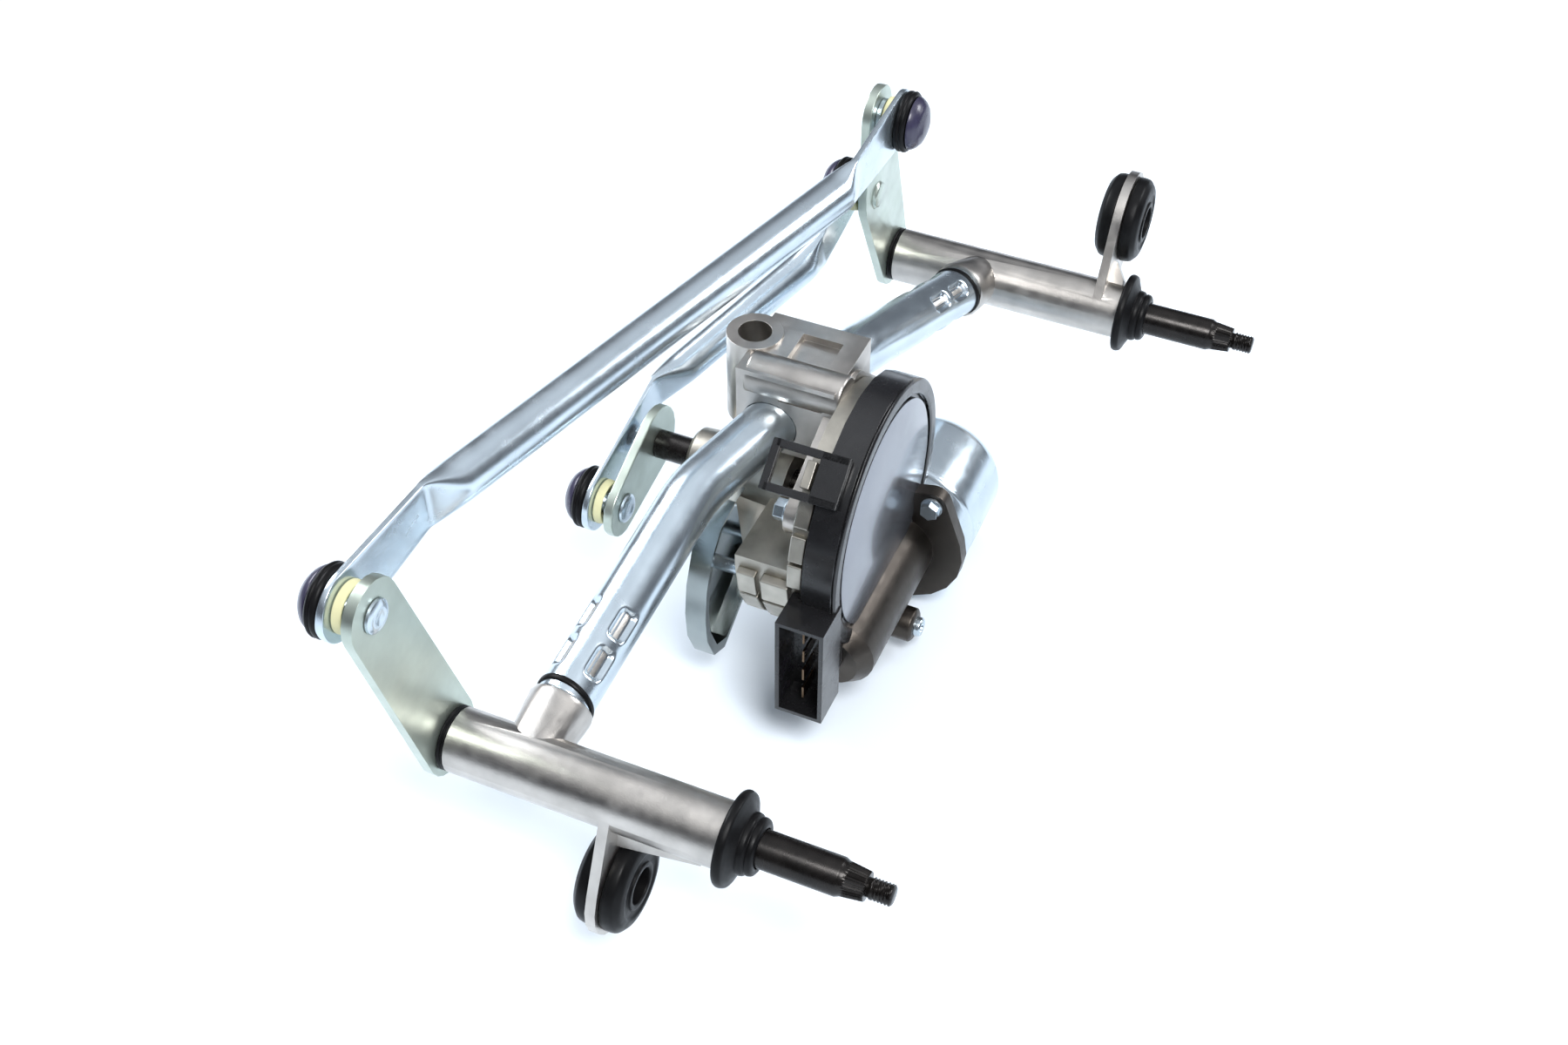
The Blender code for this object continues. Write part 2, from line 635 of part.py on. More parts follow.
def gear_housing():
    """Die-cast gear case: round bowl, deeper lower half, output boss, worm tunnel and motor flange."""
    centre = (SHAFT_A, SHAFT_B)
    case = rod("gear_housing", CASE_RADIUS, CASE_FRONT_U - CASE_UPPER_BACK_U, CAST,
               station(*centre, CASE_UPPER_BACK_U), ALONG_U)
    chord = CASE_LOWER_TOP_B - SHAFT_B
    lip = math.asin(chord / (CASE_RADIUS - 1.0))
    lower_outline = circle_points(0, 0, CASE_RADIUS - 1.0, 28, math.pi - lip, 2 * math.pi + lip)
    deep = plate("case_lower", lower_outline, CASE_UPPER_BACK_U - CASE_LOWER_BACK_U + 3.0, CAST,
                 station(*centre, CASE_LOWER_BACK_U), ALONG_U, ALONG_A)
    boss = turned("case_boss", [(0, CASE_LOWER_BACK_U + 4.0), (BOSS_RADIUS + 1.5, CASE_LOWER_BACK_U + 4.0),
                                (BOSS_RADIUS - 1.5, BOSS_END_U + 1.5), (BOSS_RADIUS - 3.0, BOSS_END_U), (0, BOSS_END_U)],
                  CAST, station(*centre, 0), ALONG_U)
    tunnel = turned("case_tunnel", [(0, FLANGE_A - TUNNEL_START_A + 2.0), (TUNNEL_RADIUS, FLANGE_A - TUNNEL_START_A + 2.0),
                                    (TUNNEL_RADIUS, 6.0), (TUNNEL_RADIUS - 5.0, 0), (0, 0)],
                    CAST, station(TUNNEL_START_A, WORM_B, WORM_U), ALONG_A)
    flange_outline = hull_outline([(0, 0, CAN_RADIUS + 1.0)] + [(b, u, LUG_RADIUS) for b, u in FLANGE_LUGS])
    flange = plate("case_flange", flange_outline, FLANGE_THICKNESS, CAST, station(FLANGE_A, WORM_B, WORM_U), ALONG_A,
                   ALONG_B)
    join(case, deep, boss, tunnel, flange)
    rib_count = 5
    for index in range(rib_count):
        angle = math.radians(195.0 + 30.0 * index)
        out = heading(math.cos(angle), math.sin(angle), 0)
        across = out.cross(ALONG_U).normalized()
        rib_lines = [(BOSS_RADIUS - 3.0, CASE_LOWER_BACK_U + 1.0), (BOSS_RADIUS - 3.0, CASE_LOWER_BACK_U - 18.0),
                     (CASE_RADIUS - 8.0, CASE_LOWER_BACK_U + 1.0)]
        thickness = 3.0
        rib = plate(f"case_rib_{index}", rib_lines, thickness, CAST,
                    station(*centre, 0) - across * (thickness / 2 * MM), across, out)
        join(case, rib)
    bowl = rod("case_bowl", WHEEL_RADIUS + 1.5, 17.5, None, station(*centre, CASE_FRONT_U - 5.0), ALONG_U, cutter=True)
    shaft_bore = rod("case_shaft_bore", SHAFT_RADIUS + GAP, CASE_FRONT_U, None, station(*centre, BOSS_END_U - 4.0),
                     ALONG_U, cutter=True)
    worm_bore = rod("case_worm_bore", 9.5, FLANGE_A - TUNNEL_START_A, None,
                    station(TUNNEL_START_A + 8.0, WORM_B, WORM_U), ALONG_A, cutter=True)
    can_room = rod("case_can_room", CAN_RADIUS + 2 * GAP, 30.0, None,
                   station(FLANGE_A + FLANGE_THICKNESS + GAP / 2, WORM_B, WORM_U), ALONG_A, cutter=True)
    cut(case, bowl, shaft_bore, worm_bore, can_room)
    for index, (b, u) in enumerate(FLANGE_LUGS):
        cut(case, rod(f"case_lug_hole_{index}", CAN_SCREW_RADIUS + GAP, FLANGE_THICKNESS + 6.0, None,
                      station(FLANGE_A - 3.0, WORM_B + b, WORM_U + u), ALONG_A, SMALL_SEGMENTS, True))
    for index, (a, b) in enumerate(BRACKET_SCREWS):
        cut(case, rod(f"case_screw_hole_{index}", SCREW_RADIUS + GAP, CASE_FRONT_U, None,
                      station(a, b, CASE_UPPER_BACK_U - 3.0), ALONG_U, SMALL_SEGMENTS, True))
    return case


def gear_cover():
    """Moulded cover over the gear case: rimmed dish, clip loops and the open connector shroud."""
    centre = (SHAFT_A, SHAFT_B)
    deep = COVER_FACE_U - COVER_BACK_U
    profile = [(0, deep - 1.2), (COVER_RADIUS - 6.0, deep - 1.2), (COVER_RADIUS - 4.5, deep), (COVER_RADIUS - 1.0, deep),
               (COVER_RADIUS, deep - 1.0), (COVER_RADIUS, 0), (COVER_RADIUS - COVER_WALL, 0),
               (COVER_RADIUS - COVER_WALL, deep - COVER_WALL - 1.2), (0, deep - COVER_WALL - 1.2)]
    cover = turned("gear_cover", profile, BLACK_PLASTIC, station(*centre, COVER_BACK_U), ALONG_U)
    high = CONNECTOR_MIDDLE_B + CONNECTOR_HEIGHT / 2
    low = CONNECTOR_MIDDLE_B - CONNECTOR_HEIGHT / 2
    front = COVER_FACE_U + 1.5
    back = front - CONNECTOR_DEPTH
    floor = CONNECTOR_MOUTH_A + CONNECTOR_CAVITY
    wall = CONNECTOR_WALL
    shroud = box("cover_shroud", (CONNECTOR_MOUTH_A, low, back), (floor + 3.0, high, front), BLACK_PLASTIC)
    stem = box("cover_stem", (floor + 1.0, low + 8.0, COVER_BACK_U + 1.0), (CONNECTOR_STEM_A, high - 14.0, COVER_FACE_U - 0.6),
               BLACK_PLASTIC)
    inside = rod("cover_inside", COVER_RADIUS - COVER_WALL, COVER_FACE_U - COVER_BACK_U - COVER_WALL - 1.2 + 10.0, None,
                 station(*centre, COVER_BACK_U - 10.0), ALONG_U, cutter=True)
    cut(stem, inside)
    cavity = box("cover_cavity", (CONNECTOR_MOUTH_A - 3.0, low + wall, back + wall), (floor, high - wall, front - wall),
                 cutter=True)
    join(cover, shroud, stem)
    room = TUNNEL_RADIUS + GAP
    step = FLANGE_A - TUNNEL_START_A
    room_profile = [(0, step + 30.0), (FLANGE_RADIUS + 3.0, step + 30.0), (FLANGE_RADIUS + 3.0, step), (room, step),
                    (room, 0), (0, 0)]
    tunnel_room = turned("cover_tunnel_room", room_profile, None, station(TUNNEL_START_A - GAP, WORM_B, WORM_U),
                         ALONG_A, cutter=True)
    case_room = rod("cover_case_room", CASE_RADIUS + GAP, 60.0, None, station(*centre, CASE_FRONT_U + GAP - 60.0), ALONG_U,
                    cutter=True)
    cut(cover, cavity, case_room, tunnel_room)
    return cover


def terminals():
    """Flat connector terminals, in one row up the shroud's floor."""
    pitch = 10.5
    tail = CONNECTOR_MOUTH_A + CONNECTOR_CAVITY - GAP
    middle_u = COVER_FACE_U + 1.5 - CONNECTOR_DEPTH / 2
    for index in range(TERMINALS):
        b = CONNECTOR_MIDDLE_B + (index - (TERMINALS - 1) / 2) * pitch
        box(f"terminal_{index + 1}", (tail - 10.0, b - 3.0, middle_u - 0.4), (tail, b + 3.0, middle_u + 0.4), COPPER)


def motor_can():
    """Drawn steel can, closed at its far end by the bearing boss."""
    outer, inner = CAN_RADIUS, CAN_RADIUS - CAN_WALL
    end = CAN_LENGTH
    profile = [(0, end + 7.0), (8.0, end + 7.0), (9.5, end + 5.5), (9.5, end), (22.0, end - 0.5), (26.5, end - 2.5),
               (outer, end - 7.0), (outer, 0), (inner, 0), (inner, end - 7.5), (25.0, end - 3.8),
               (21.5, end - 2.0), (8.0, end - 1.5), (8.0, end + 5.0), (0, end + 5.0)]
    turned("motor_can", profile, ZINC, station(FLANGE_A + FLANGE_THICKNESS + GAP, WORM_B, WORM_U), ALONG_A)


def can_screws():
    """Flanged hexagon screws through the motor flange's lugs."""
    under_head = FLANGE_A - GAP
    length = FLANGE_THICKNESS + GAP
    for index, (b, u) in enumerate(FLANGE_LUGS):
        name = f"can_screw_{index + 1}"
        profile = [(0, length), (CAN_SCREW_RADIUS, length), (CAN_SCREW_RADIUS, 0), (4.8, 0), (4.8, -1.2), (0, -1.2)]
        origin = station(under_head, WORM_B + b, WORM_U + u)
        body = turned(name, profile, ZINC, origin, ALONG_A, steps=SMALL_SEGMENTS)
        head = plate(name + "_head", hexagon(7.0), 4.0, ZINC, origin - ALONG_A * (4.6 * MM), ALONG_A, ALONG_B)
        join(body, head)


def magnets():
    """Two ferrite shells inside the can."""
    outer = CAN_RADIUS - CAN_WALL - GAP
    inner = outer - 5.5
    for index, start in enumerate((15.0, 195.0)):
        arc = [math.radians(start), math.radians(start + 150.0)]
        outline = circle_points(0, 0, outer, 14, *arc) + circle_points(0, 0, inner, 14, *arc)[::-1]
        plate(f"magnet_{index + 1}", outline, 34.0, MAGNET, station(FLANGE_A + FLANGE_THICKNESS + 6.0, WORM_B, WORM_U),
              ALONG_A, ALONG_B)


def armature():
    """Motor shaft with its worm, commutator and wound core."""
    shaft = 3.0
    start = TUNNEL_START_A + 9.0
    worm_from, worm_to = SHAFT_A - 18.0, SHAFT_A + 18.0
    core_from = FLANGE_A + FLANGE_THICKNESS + 7.0
    core_to = core_from + 32.0
    end = FLANGE_A + FLANGE_THICKNESS + CAN_LENGTH + 4.0
    profile = [(0, end), (shaft, end), (shaft, core_to), (19.0, core_to), (19.0, core_from), (10.0, core_from),
               (10.0, core_from - 5.0), (shaft, core_from - 5.0), (shaft, worm_to)]
    ridges = int((worm_to - worm_from) / WORM_PITCH)
    for index in range(ridges):
        top = worm_to - index * WORM_PITCH
        profile += [(WORM_RADIUS - 2.2, top - 0.6), (WORM_RADIUS, top - 1.6), (WORM_RADIUS, top - 2.9),
                    (WORM_RADIUS - 2.2, top - 3.9)]
    profile += [(shaft, worm_from), (shaft, start), (0, start)]
    turned("armature", profile, COPPER, station(0, WORM_B, WORM_U), ALONG_A, steps=SMALL_SEGMENTS)


def motor_plate():
    """Pressed shield behind the gearbox, round the output boss, with its turned-up lower rim."""
    centre = station(SHAFT_A, SHAFT_B, PLATE_U)
    body = plate("motor_plate", PLATE_OUTLINE, PLATE_RIM, ZINC, centre, ALONG_U, ALONG_A)
    inner = [(x * 0.94, y * 0.94) for x, y in PLATE_OUTLINE]
    hollow = plate("plate_hollow", inner, PLATE_RIM, None, centre + ALONG_U * (PLATE_THICKNESS * MM), ALONG_U, ALONG_A,
                   True)
    cut(body, hollow)
    cut(body, rod("plate_boss_hole", BOSS_RADIUS + 2.5, 20.0, None, station(SHAFT_A, SHAFT_B, PLATE_U - 6.0), ALONG_U,
                  cutter=True))
    for index, (x, y) in enumerate(PLATE_SCREWS):
        cut(body, rod(f"plate_screw_hole_{index}", SCREW_RADIUS + GAP, 20.0, None,
                      station(SHAFT_A + x, SHAFT_B + y, PLATE_U - 6.0), ALONG_U, SMALL_SEGMENTS, True))


def plate_screws():
    """Hexagon screws with long shanks that hold the shield to the gear case."""
    under_head = PLATE_U - GAP
    length = CASE_LOWER_BACK_U - GAP - under_head
    for index, (x, y) in enumerate(PLATE_SCREWS):
        name = f"plate_screw_{index + 1}"
        a, b = SHAFT_A + x, SHAFT_B + y
        body = rod(name, SCREW_RADIUS, length, ZINC, station(a, b, under_head), ALONG_U, SMALL_SEGMENTS)
        head = plate(name + "_head", hexagon(8.0), 4.0, ZINC, station(a, b, under_head - 3.9), ALONG_U, ALONG_A)
        join(body, head)


def worm_wheel():
    """Moulded worm wheel on the output shaft."""
    teeth = []
    root = WHEEL_RADIUS - 2.0
    for index in range(WHEEL_TEETH):
        for share, radius in ((0.0, root), (0.30, root), (0.45, WHEEL_RADIUS), (0.85, WHEEL_RADIUS)):
            teeth.append(polar(radius, 2 * math.pi * (index + share) / WHEEL_TEETH))
    wheel = plate("worm_wheel", teeth, WHEEL_WIDTH, CREAM_PLASTIC,
                  station(SHAFT_A, SHAFT_B, WORM_U - WHEEL_WIDTH / 2), ALONG_U, ALONG_A)
    cut(wheel, rod("wheel_bore", SHAFT_RADIUS + 1.0 + GAP, WHEEL_WIDTH + 4.0, None,
                   station(SHAFT_A, SHAFT_B, WORM_U - WHEEL_WIDTH / 2 - 2.0), ALONG_U, SMALL_SEGMENTS, True))


def output_shaft():
    """Hardened output shaft: knurled seat for the wheel, bearing length and threaded end."""
    end = CRANK_U - ARM_THICKNESS - 5.0
    top = WORM_U + WHEEL_WIDTH / 2 - 0.5
    seat = WORM_U - WHEEL_WIDTH / 2 - 1.0
    profile = [(0, top), (SHAFT_RADIUS + 1.0, top), (SHAFT_RADIUS + 1.0, seat), (SHAFT_RADIUS, seat),
               (SHAFT_RADIUS, CRANK_U + GAP), (SHAFT_RADIUS - 1.6, CRANK_U + GAP),
               (SHAFT_RADIUS - 1.6, end + 0.8), (SHAFT_RADIUS - 2.4, end), (0, end)]
    turned("output_shaft", profile, BLACK_STEEL, station(SHAFT_A, SHAFT_B, 0), ALONG_U)


def crank_arm():
    """Stamped crank on the output shaft, with the hole for its ball stud."""
    reach = math.dist((SHAFT_A, SHAFT_B), CRANK_BALL)
    side = heading(CRANK_BALL[0] - SHAFT_A, CRANK_BALL[1] - SHAFT_B, 0)
    outline = hull_outline([(0, 0, CRANK_HUB_RADIUS), (reach, 0, CRANK_TIP_RADIUS)])
    back = CRANK_U - ARM_THICKNESS
    crank = plate("crank_arm", outline, ARM_THICKNESS, PASSIVATED, station(SHAFT_A, SHAFT_B, back), ALONG_U, side)
    for index, (centre, radius) in enumerate((((SHAFT_A, SHAFT_B), SHAFT_RADIUS - 1.6 + GAP), (CRANK_BALL, 4.0 + GAP))):
        cut(crank, rod(f"crank_hole_{index}", radius, ARM_THICKNESS + 4.0, None, station(*centre, back - 2.0), ALONG_U,
                       SMALL_SEGMENTS, True))


def crank_nut():
    """Flanged nut that clamps the crank on the output shaft."""
    back = CRANK_U - ARM_THICKNESS - GAP
    nut = plate("crank_nut", hexagon(13.0), 4.2, ZINC, station(SHAFT_A, SHAFT_B, back - 4.2), ALONG_U, ALONG_A)
    washer = rod("crank_nut_flange", 8.5, 1.6, ZINC, station(SHAFT_A, SHAFT_B, back - 1.5), ALONG_U)
    join(nut, washer)
    cut(nut, rod("crank_nut_bore", SHAFT_RADIUS - 1.6 + GAP, 12.0, None, station(SHAFT_A, SHAFT_B, back - 9.0), ALONG_U,
                 SMALL_SEGMENTS, True))


def pivot_arm(pivot, balls, rivets=()):
    """Stamped arm riveted to a spindle's rear end; balls lists its stud places in the a, b plane.

    A stud place in rivets shows a solid rivet head instead of a hole.
    """
    name = pivot.side + "_arm"
    circles = [(0, 0, ARM_ROOT_RADIUS)]
    circles += [(a - pivot.a, b, ARM_TIP_RADIUS) for a, b in balls]
    back = ARM_BACK_OFFSET - ARM_THICKNESS
    arm = plate(name, hull_outline(circles), ARM_THICKNESS, PASSIVATED, pivot.at(back), ALONG_U, ALONG_A)
    for index, (a, b) in enumerate(rivets):
        head = [(0, 2.0), (5.4, 1.6), (6.2, 0), (6.2, -1.0), (0, -1.0)]
        join(arm, turned(f"{name}_rivet_{index}", head, PASSIVATED, station(a, b, pivot.u + ARM_BACK_OFFSET), ALONG_U,
                         steps=SMALL_SEGMENTS))
    holes = [((pivot.a, 0), SPINDLE_RADIUS - 2.0 + GAP)]
    holes += [(ball, 4.0 + GAP) for ball in balls if ball not in rivets]
    for index, ((a, b), radius) in enumerate(holes):
        cut(arm, rod(f"{name}_hole_{index}", radius, ARM_THICKNESS + 4.0, None, station(a, b, pivot.u + back - 2.0),
                     ALONG_U, SMALL_SEGMENTS, True))


def ball_stud(name, centre, face_u, outward, riveted=True):
    """Ball stud on an arm: face_u is the arm's face on the ball's side, outward is +1 or -1 along u.

    A riveted stud goes through the arm. The other kind ends at the arm's face, as an open pivot.
    """
    shank = 4.0
    through = ARM_THICKNESS + GAP
    ball = [(BALL_RADIUS * math.sin(t), BALL_STANDOFF + BALL_RADIUS * math.cos(t))
            for t in np.linspace(0.0, math.radians(140.0), 7)]
    profile = ball + [(3.6, 3.4), (7.5, 2.2), (7.5, GAP)]
    if riveted:
        profile += [(shank, GAP), (shank, -through), (shank + 2.2, -through), (shank + 1.4, -through - 1.6),
                    (0, -through - 2.0)]
    else:
        profile.append((0, GAP))
    turned(name, profile, ZINC, station(*centre, face_u), ALONG_U * outward, steps=SMALL_SEGMENTS)


def ball_socket(name, centre, face_u, outward):
    """What a link carries round one ball: the cream liner, the black seal ring and the closing cap."""
    origin, axis = station(*centre, face_u), ALONG_U * outward
    room = BALL_RADIUS + 2 * GAP
    throat = 5.6
    lowest = math.pi - math.asin(throat / room)
    cavity = [(room * math.sin(t), BALL_STANDOFF + room * math.cos(t)) for t in np.linspace(lowest, 0.0, 6)]
    body = LINK_HOLE_RADIUS - GAP
    top = BALL_STANDOFF + room + 1.2
    liner = [(0, top), (body, top), (body, LINK_PLATE[0] - GAP), (body + 1.4, LINK_PLATE[0] - GAP),
             (body + 0.8, 2.9), (throat + 2.4, 2.9), (throat, 4.6), *cavity]
    turned(name + "_liner", liner, CREAM_PLASTIC, origin, axis, steps=SMALL_SEGMENTS)
    seal_top = 14.6
    seal = [(LINK_HOLE_RADIUS, seal_top), (12.2, seal_top), (13.4, seal_top - 1.5), (13.4, LINK_PLATE[1] + 1.6),
            (12.6, LINK_PLATE[1] + GAP), (LINK_HOLE_RADIUS, LINK_PLATE[1] + GAP)]
    turned(name + "_seal", seal, RUBBER, origin, axis, True, SMALL_SEGMENTS)
    cap_low = seal_top + GAP
    cap_pocket = top + GAP
    cap = [(0, 21.0), (4.0, 20.8), (8.0, 19.6), (10.6, 17.2), (11.4, cap_low), (LINK_HOLE_RADIUS, cap_low),
           (LINK_HOLE_RADIUS, cap_pocket), (0, cap_pocket)]
    turned(name + "_cap", cap, BLACK_PLASTIC, origin, axis, steps=SMALL_SEGMENTS)


def link_rod(name, first, last, radius, flat_lengths, finish):
    """A tube pressed flat at both ends: first and last are (a, b, u) of the middle of each eye's plate.

    It is a loft of stadium-like sections. Half the width and half the thickness change with the
    distance along the rod: a round tube in the middle, a thin plate with a round end at each eye.
    """
    start, stop = np.array(first, float), np.array(last, float)
    run = stop - start
    span = math.hypot(run[0], run[1])
    ahead = np.array([run[0], run[1], 0.0]) / span
    across = np.array([-ahead[1], ahead[0], 0.0])
    thin = (LINK_PLATE[1] - LINK_PLATE[0]) / 2
    eye = LINK_EYE_RADIUS

    def half_sizes(s):
        """Half width and half thickness at a distance s from the first eye's centre."""
        near = min(s, span - s)
        flat_length = flat_lengths[0] if s < span / 2 else flat_lengths[1]
        if near <= 0:
            return math.sqrt(max(eye * eye - near * near, 0.0)), thin
        share = min(max((near - flat_length) / LINK_SWELL, 0.0), 1.0)
        share = share * share * (3 - 2 * share)
        taper = min(near / flat_length, 1.0)
        flat_half = eye + (radius + 1.6 - eye) * taper
        return flat_half + (radius - flat_half) * share, thin + (radius - thin) * share

    ends = [-eye * math.cos(t) for t in np.linspace(0.12, math.pi / 2, 6)]
    from_start, from_stop = [
        ends + [flat * 0.5, flat, flat + LINK_SWELL * 0.33, flat + LINK_SWELL * 0.66, flat + LINK_SWELL]
        for flat in flat_lengths]
    stations_s = from_start + [span - s for s in from_stop[::-1]]
    rings = []
    count = 16
    slope_start, slope_stop = flat_lengths[0] + 2.0, span - flat_lengths[1] - 2.0
    for s in stations_s:
        share = min(max((s - slope_start) / (slope_stop - slope_start), 0.0), 1.0)
        centre = start + ahead * s + np.array([0.0, 0.0, run[2] * share])
        wide, thick = half_sizes(s)
        power = 0.35 + 0.65 * (thick - thin) / (radius - thin)
        rings.append([
            centre
            + across * wide * math.copysign(abs(math.cos(t)) ** power, math.cos(t))
            + np.array([0.0, 0.0, thick * math.copysign(abs(math.sin(t)) ** power, math.sin(t))])
            for t in (2 * math.pi * (i + 0.5) / count for i in range(count))])
    work = bmesh.new()
    loops = [[work.verts.new(station(*point)) for point in one] for one in rings]
    for lower, upper in zip(loops, loops[1:]):
        for i in range(count):
            work.faces.new((lower[i], lower[(i + 1) % count], upper[(i + 1) % count], upper[i]))
    work.faces.new(loops[0][::-1])
    work.faces.new(loops[-1])
    bmesh.ops.recalc_face_normals(work, faces=work.faces)
    mesh = bpy.data.meshes.new(name)
    work.to_mesh(mesh)
    work.free()
    item = add_object(name, mesh, finish)
    for index, (a, b, u) in enumerate((first, last)):
        cut(item, rod(f"{name}_eye_{index}", LINK_HOLE_RADIUS, 12.0, None, station(a, b, u - 6.0), ALONG_U,
                      SMALL_SEGMENTS, True))


def linkage():
    """Both arms, the crank, the two link rods and the four ball joints."""
    pivot_arm(LEFT, [LEFT_BALL])
    pivot_arm(RIGHT, [RIGHT_BALL, DRIVE_BALL], [DRIVE_BALL])
    crank_arm()
    crank_nut()
    arm_back = ARM_BACK_OFFSET - ARM_THICKNESS
    mid_plate = sum(LINK_PLATE) / 2
    joints = (
        ("left_ball", LEFT_BALL, LEFT.u + arm_back, -1),
        ("right_ball", RIGHT_BALL, RIGHT.u + ARM_BACK_OFFSET, 1),
        ("drive_ball", DRIVE_BALL, RIGHT.u + arm_back, -1),
        ("crank_ball", CRANK_BALL, CRANK_U - ARM_THICKNESS, -1),
    )
    eyes = {}
    for name, centre, face_u, outward in joints:
        ball_stud(name + "_stud", centre, face_u, outward, name != "drive_ball")
        ball_socket(name, centre, face_u, outward)
        eyes[name] = (*centre, face_u + outward * mid_plate)
    link_rod("cross_link", eyes["left_ball"], eyes["right_ball"], CROSS_TUBE_RADIUS, CROSS_FLAT_LENGTHS, ZINC)
    link_rod("drive_link", eyes["crank_ball"], eyes["drive_ball"], DRIVE_TUBE_RADIUS, DRIVE_FLAT_LENGTHS, ZINC)


def build():
    """Makes every piece of the unit."""
    for pivot in (LEFT, RIGHT):
        pivot_housing(pivot)
        bushes(pivot)
        grommet(pivot)
        rear_seal(pivot)
        circlip(pivot)
        front_seal(pivot)
        spindle(pivot)
    knees = frame_tube()
    motor_bracket(knees)
    bracket_screws()
    gear_housing()
    gear_cover()
    terminals()
    motor_plate()
    plate_screws()
    motor_can()
    can_screws()
    magnets()
    armature()
    worm_wheel()
    output_shaft()
    linkage()
    bpy.context.view_layer.update()
    for item in PARTS.objects:
        if item.type == "MESH" and len(item.data.polygons):
            smooth(item)


build()
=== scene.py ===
"""Looks of a windshield wiper motor with its linkage, built round its solid model."""
import json
import math

import bmesh
import bpy
import numpy as np
from mathutils import Matrix, Vector


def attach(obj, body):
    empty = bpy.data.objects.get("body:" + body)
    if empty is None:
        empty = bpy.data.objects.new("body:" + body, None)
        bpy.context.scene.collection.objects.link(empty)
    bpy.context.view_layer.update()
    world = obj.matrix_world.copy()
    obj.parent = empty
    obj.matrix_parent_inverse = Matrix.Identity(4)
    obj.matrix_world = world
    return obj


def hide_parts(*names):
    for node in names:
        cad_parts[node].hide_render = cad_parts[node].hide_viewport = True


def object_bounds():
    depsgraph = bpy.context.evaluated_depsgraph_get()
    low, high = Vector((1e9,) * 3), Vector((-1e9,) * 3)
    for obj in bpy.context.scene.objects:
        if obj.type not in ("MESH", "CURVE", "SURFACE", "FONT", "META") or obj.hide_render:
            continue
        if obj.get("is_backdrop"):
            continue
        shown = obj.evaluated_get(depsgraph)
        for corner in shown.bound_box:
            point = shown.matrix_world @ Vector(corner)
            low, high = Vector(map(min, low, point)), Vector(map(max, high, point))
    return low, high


bl_info = {
    "name": "Wiper motor and linkage",
    "version": (1, 0, 0),
    "blender": (4, 5, 0),
    "location": "View3D > Sidebar > Wiper",
    "description": "Detailed surfaces and finishes for a wiper motor with its linkage",
    "category": "Object",
}

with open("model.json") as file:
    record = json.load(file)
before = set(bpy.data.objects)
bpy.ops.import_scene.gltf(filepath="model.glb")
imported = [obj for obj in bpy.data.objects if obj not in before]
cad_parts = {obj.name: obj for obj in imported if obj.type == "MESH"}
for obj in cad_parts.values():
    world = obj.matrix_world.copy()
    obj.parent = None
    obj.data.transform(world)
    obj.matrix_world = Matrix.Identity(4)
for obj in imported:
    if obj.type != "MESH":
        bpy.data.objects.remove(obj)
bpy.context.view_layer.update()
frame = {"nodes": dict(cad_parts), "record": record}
NODE_BODY = {node: body for body, nodes in frame["record"]["behaviour"]["bodies"].items() for node in nodes}
NODE_SLOT = {entry["node"]: entry["material_slot"] for entry in frame["record"]["subparts"]}

MM = 0.001
TIP_U = 166.0
SPACING = 335.0
RIGHT_STEP = 39.0
ALONG_U = np.array([0.0, -1.0, 0.0])
PIVOTS = {"left": (0.0, 0.0), "right": (SPACING, RIGHT_STEP)}
GROMMETS = {"left": (-7.0, -38.0, 64.0), "right": (362.0, 31.0, 135.0)}
SHAFT = (166.0, 5.0)
WHEEL_RADIUS = 44.0
WORM_RADIUS = 6.6
WORM_GAP = 0.4
WORM_B = SHAFT[1] - WHEEL_RADIUS - WORM_RADIUS - WORM_GAP
WORM_U = 91.0
TUBE_KNEES = {"left": (120.0, 32.0, 36.0), "right": (215.0, 35.0, 60.0)}
SPIGOTS = {"left": (0.0, 0.0, 27.0), "right": (SPACING, 0.0, RIGHT_STEP + 40.0)}
TUBE_MOUTH = 0.0263
TUBE_BEND = 0.060
CROSS_BALL = (94.0, 107.0)
DRIVE_RADIUS = 57.0
DRIVE_ANGLE = 119.0
DRIVE_FAR_ANGLE = 43.0
ARM_BACK = -7.0
ARM_FRONT = -3.0
BALL_RADIUS = 6.5
BALL_STANDOFF = 10.4
CAVITY_RADIUS = 7.1
LINK_STANDOFF = 8.0
LINK_EYE = 13.0
LINK_HALF_PLATE = 1.5
LINK_SWELL = 16.0
WELD_DISTANCE = 2e-6
SHARP_DEGREES = 38.0
BEVEL_DEGREES = 34.0
FOOT = (176.0, -66.0)
TUBE_WALL = 0.0019
TUBE_RIM = 0.0003
CRIMP_ROWS = (0.016, 0.033)
CRIMP_TURNS = (45.0, 135.0, 225.0, 315.0)
CRIMP_HALF_LENGTH = 0.0040
CRIMP_HALF_WIDTH = 0.0018
CRIMP_SLOPES = (0.0026, 0.0022)
THREAD_SPAN = (158.4, 165.2)
THREAD_DEPTH = 0.55
CONE_SPAN = (149.0, 156.4)
KNURL_DEPTH = 0.14
NECK_STARTS = 0.0835
NECK_FULL = 0.0815
LOOK_AT = (0.15, 0.06, 0.0)
FLOOR_CENTRE = (0.17, 0.08)
SHADOW_REACH = (0.40, 0.80)
CAMERA_PLACE = (-0.35496, -0.11238, 0.53108)
CAMERA_RIGHT = (0.4007, -0.9162, 0.0050)
CAMERA_UP = (0.6360, 0.2821, 0.7183)
CAMERA_BACK = (-0.6595, -0.2847, 0.6957)


def polar(radius, degrees):
    """A point in the plane across the spindles, in mm."""
    return radius * math.cos(math.radians(degrees)), radius * math.sin(math.radians(degrees))


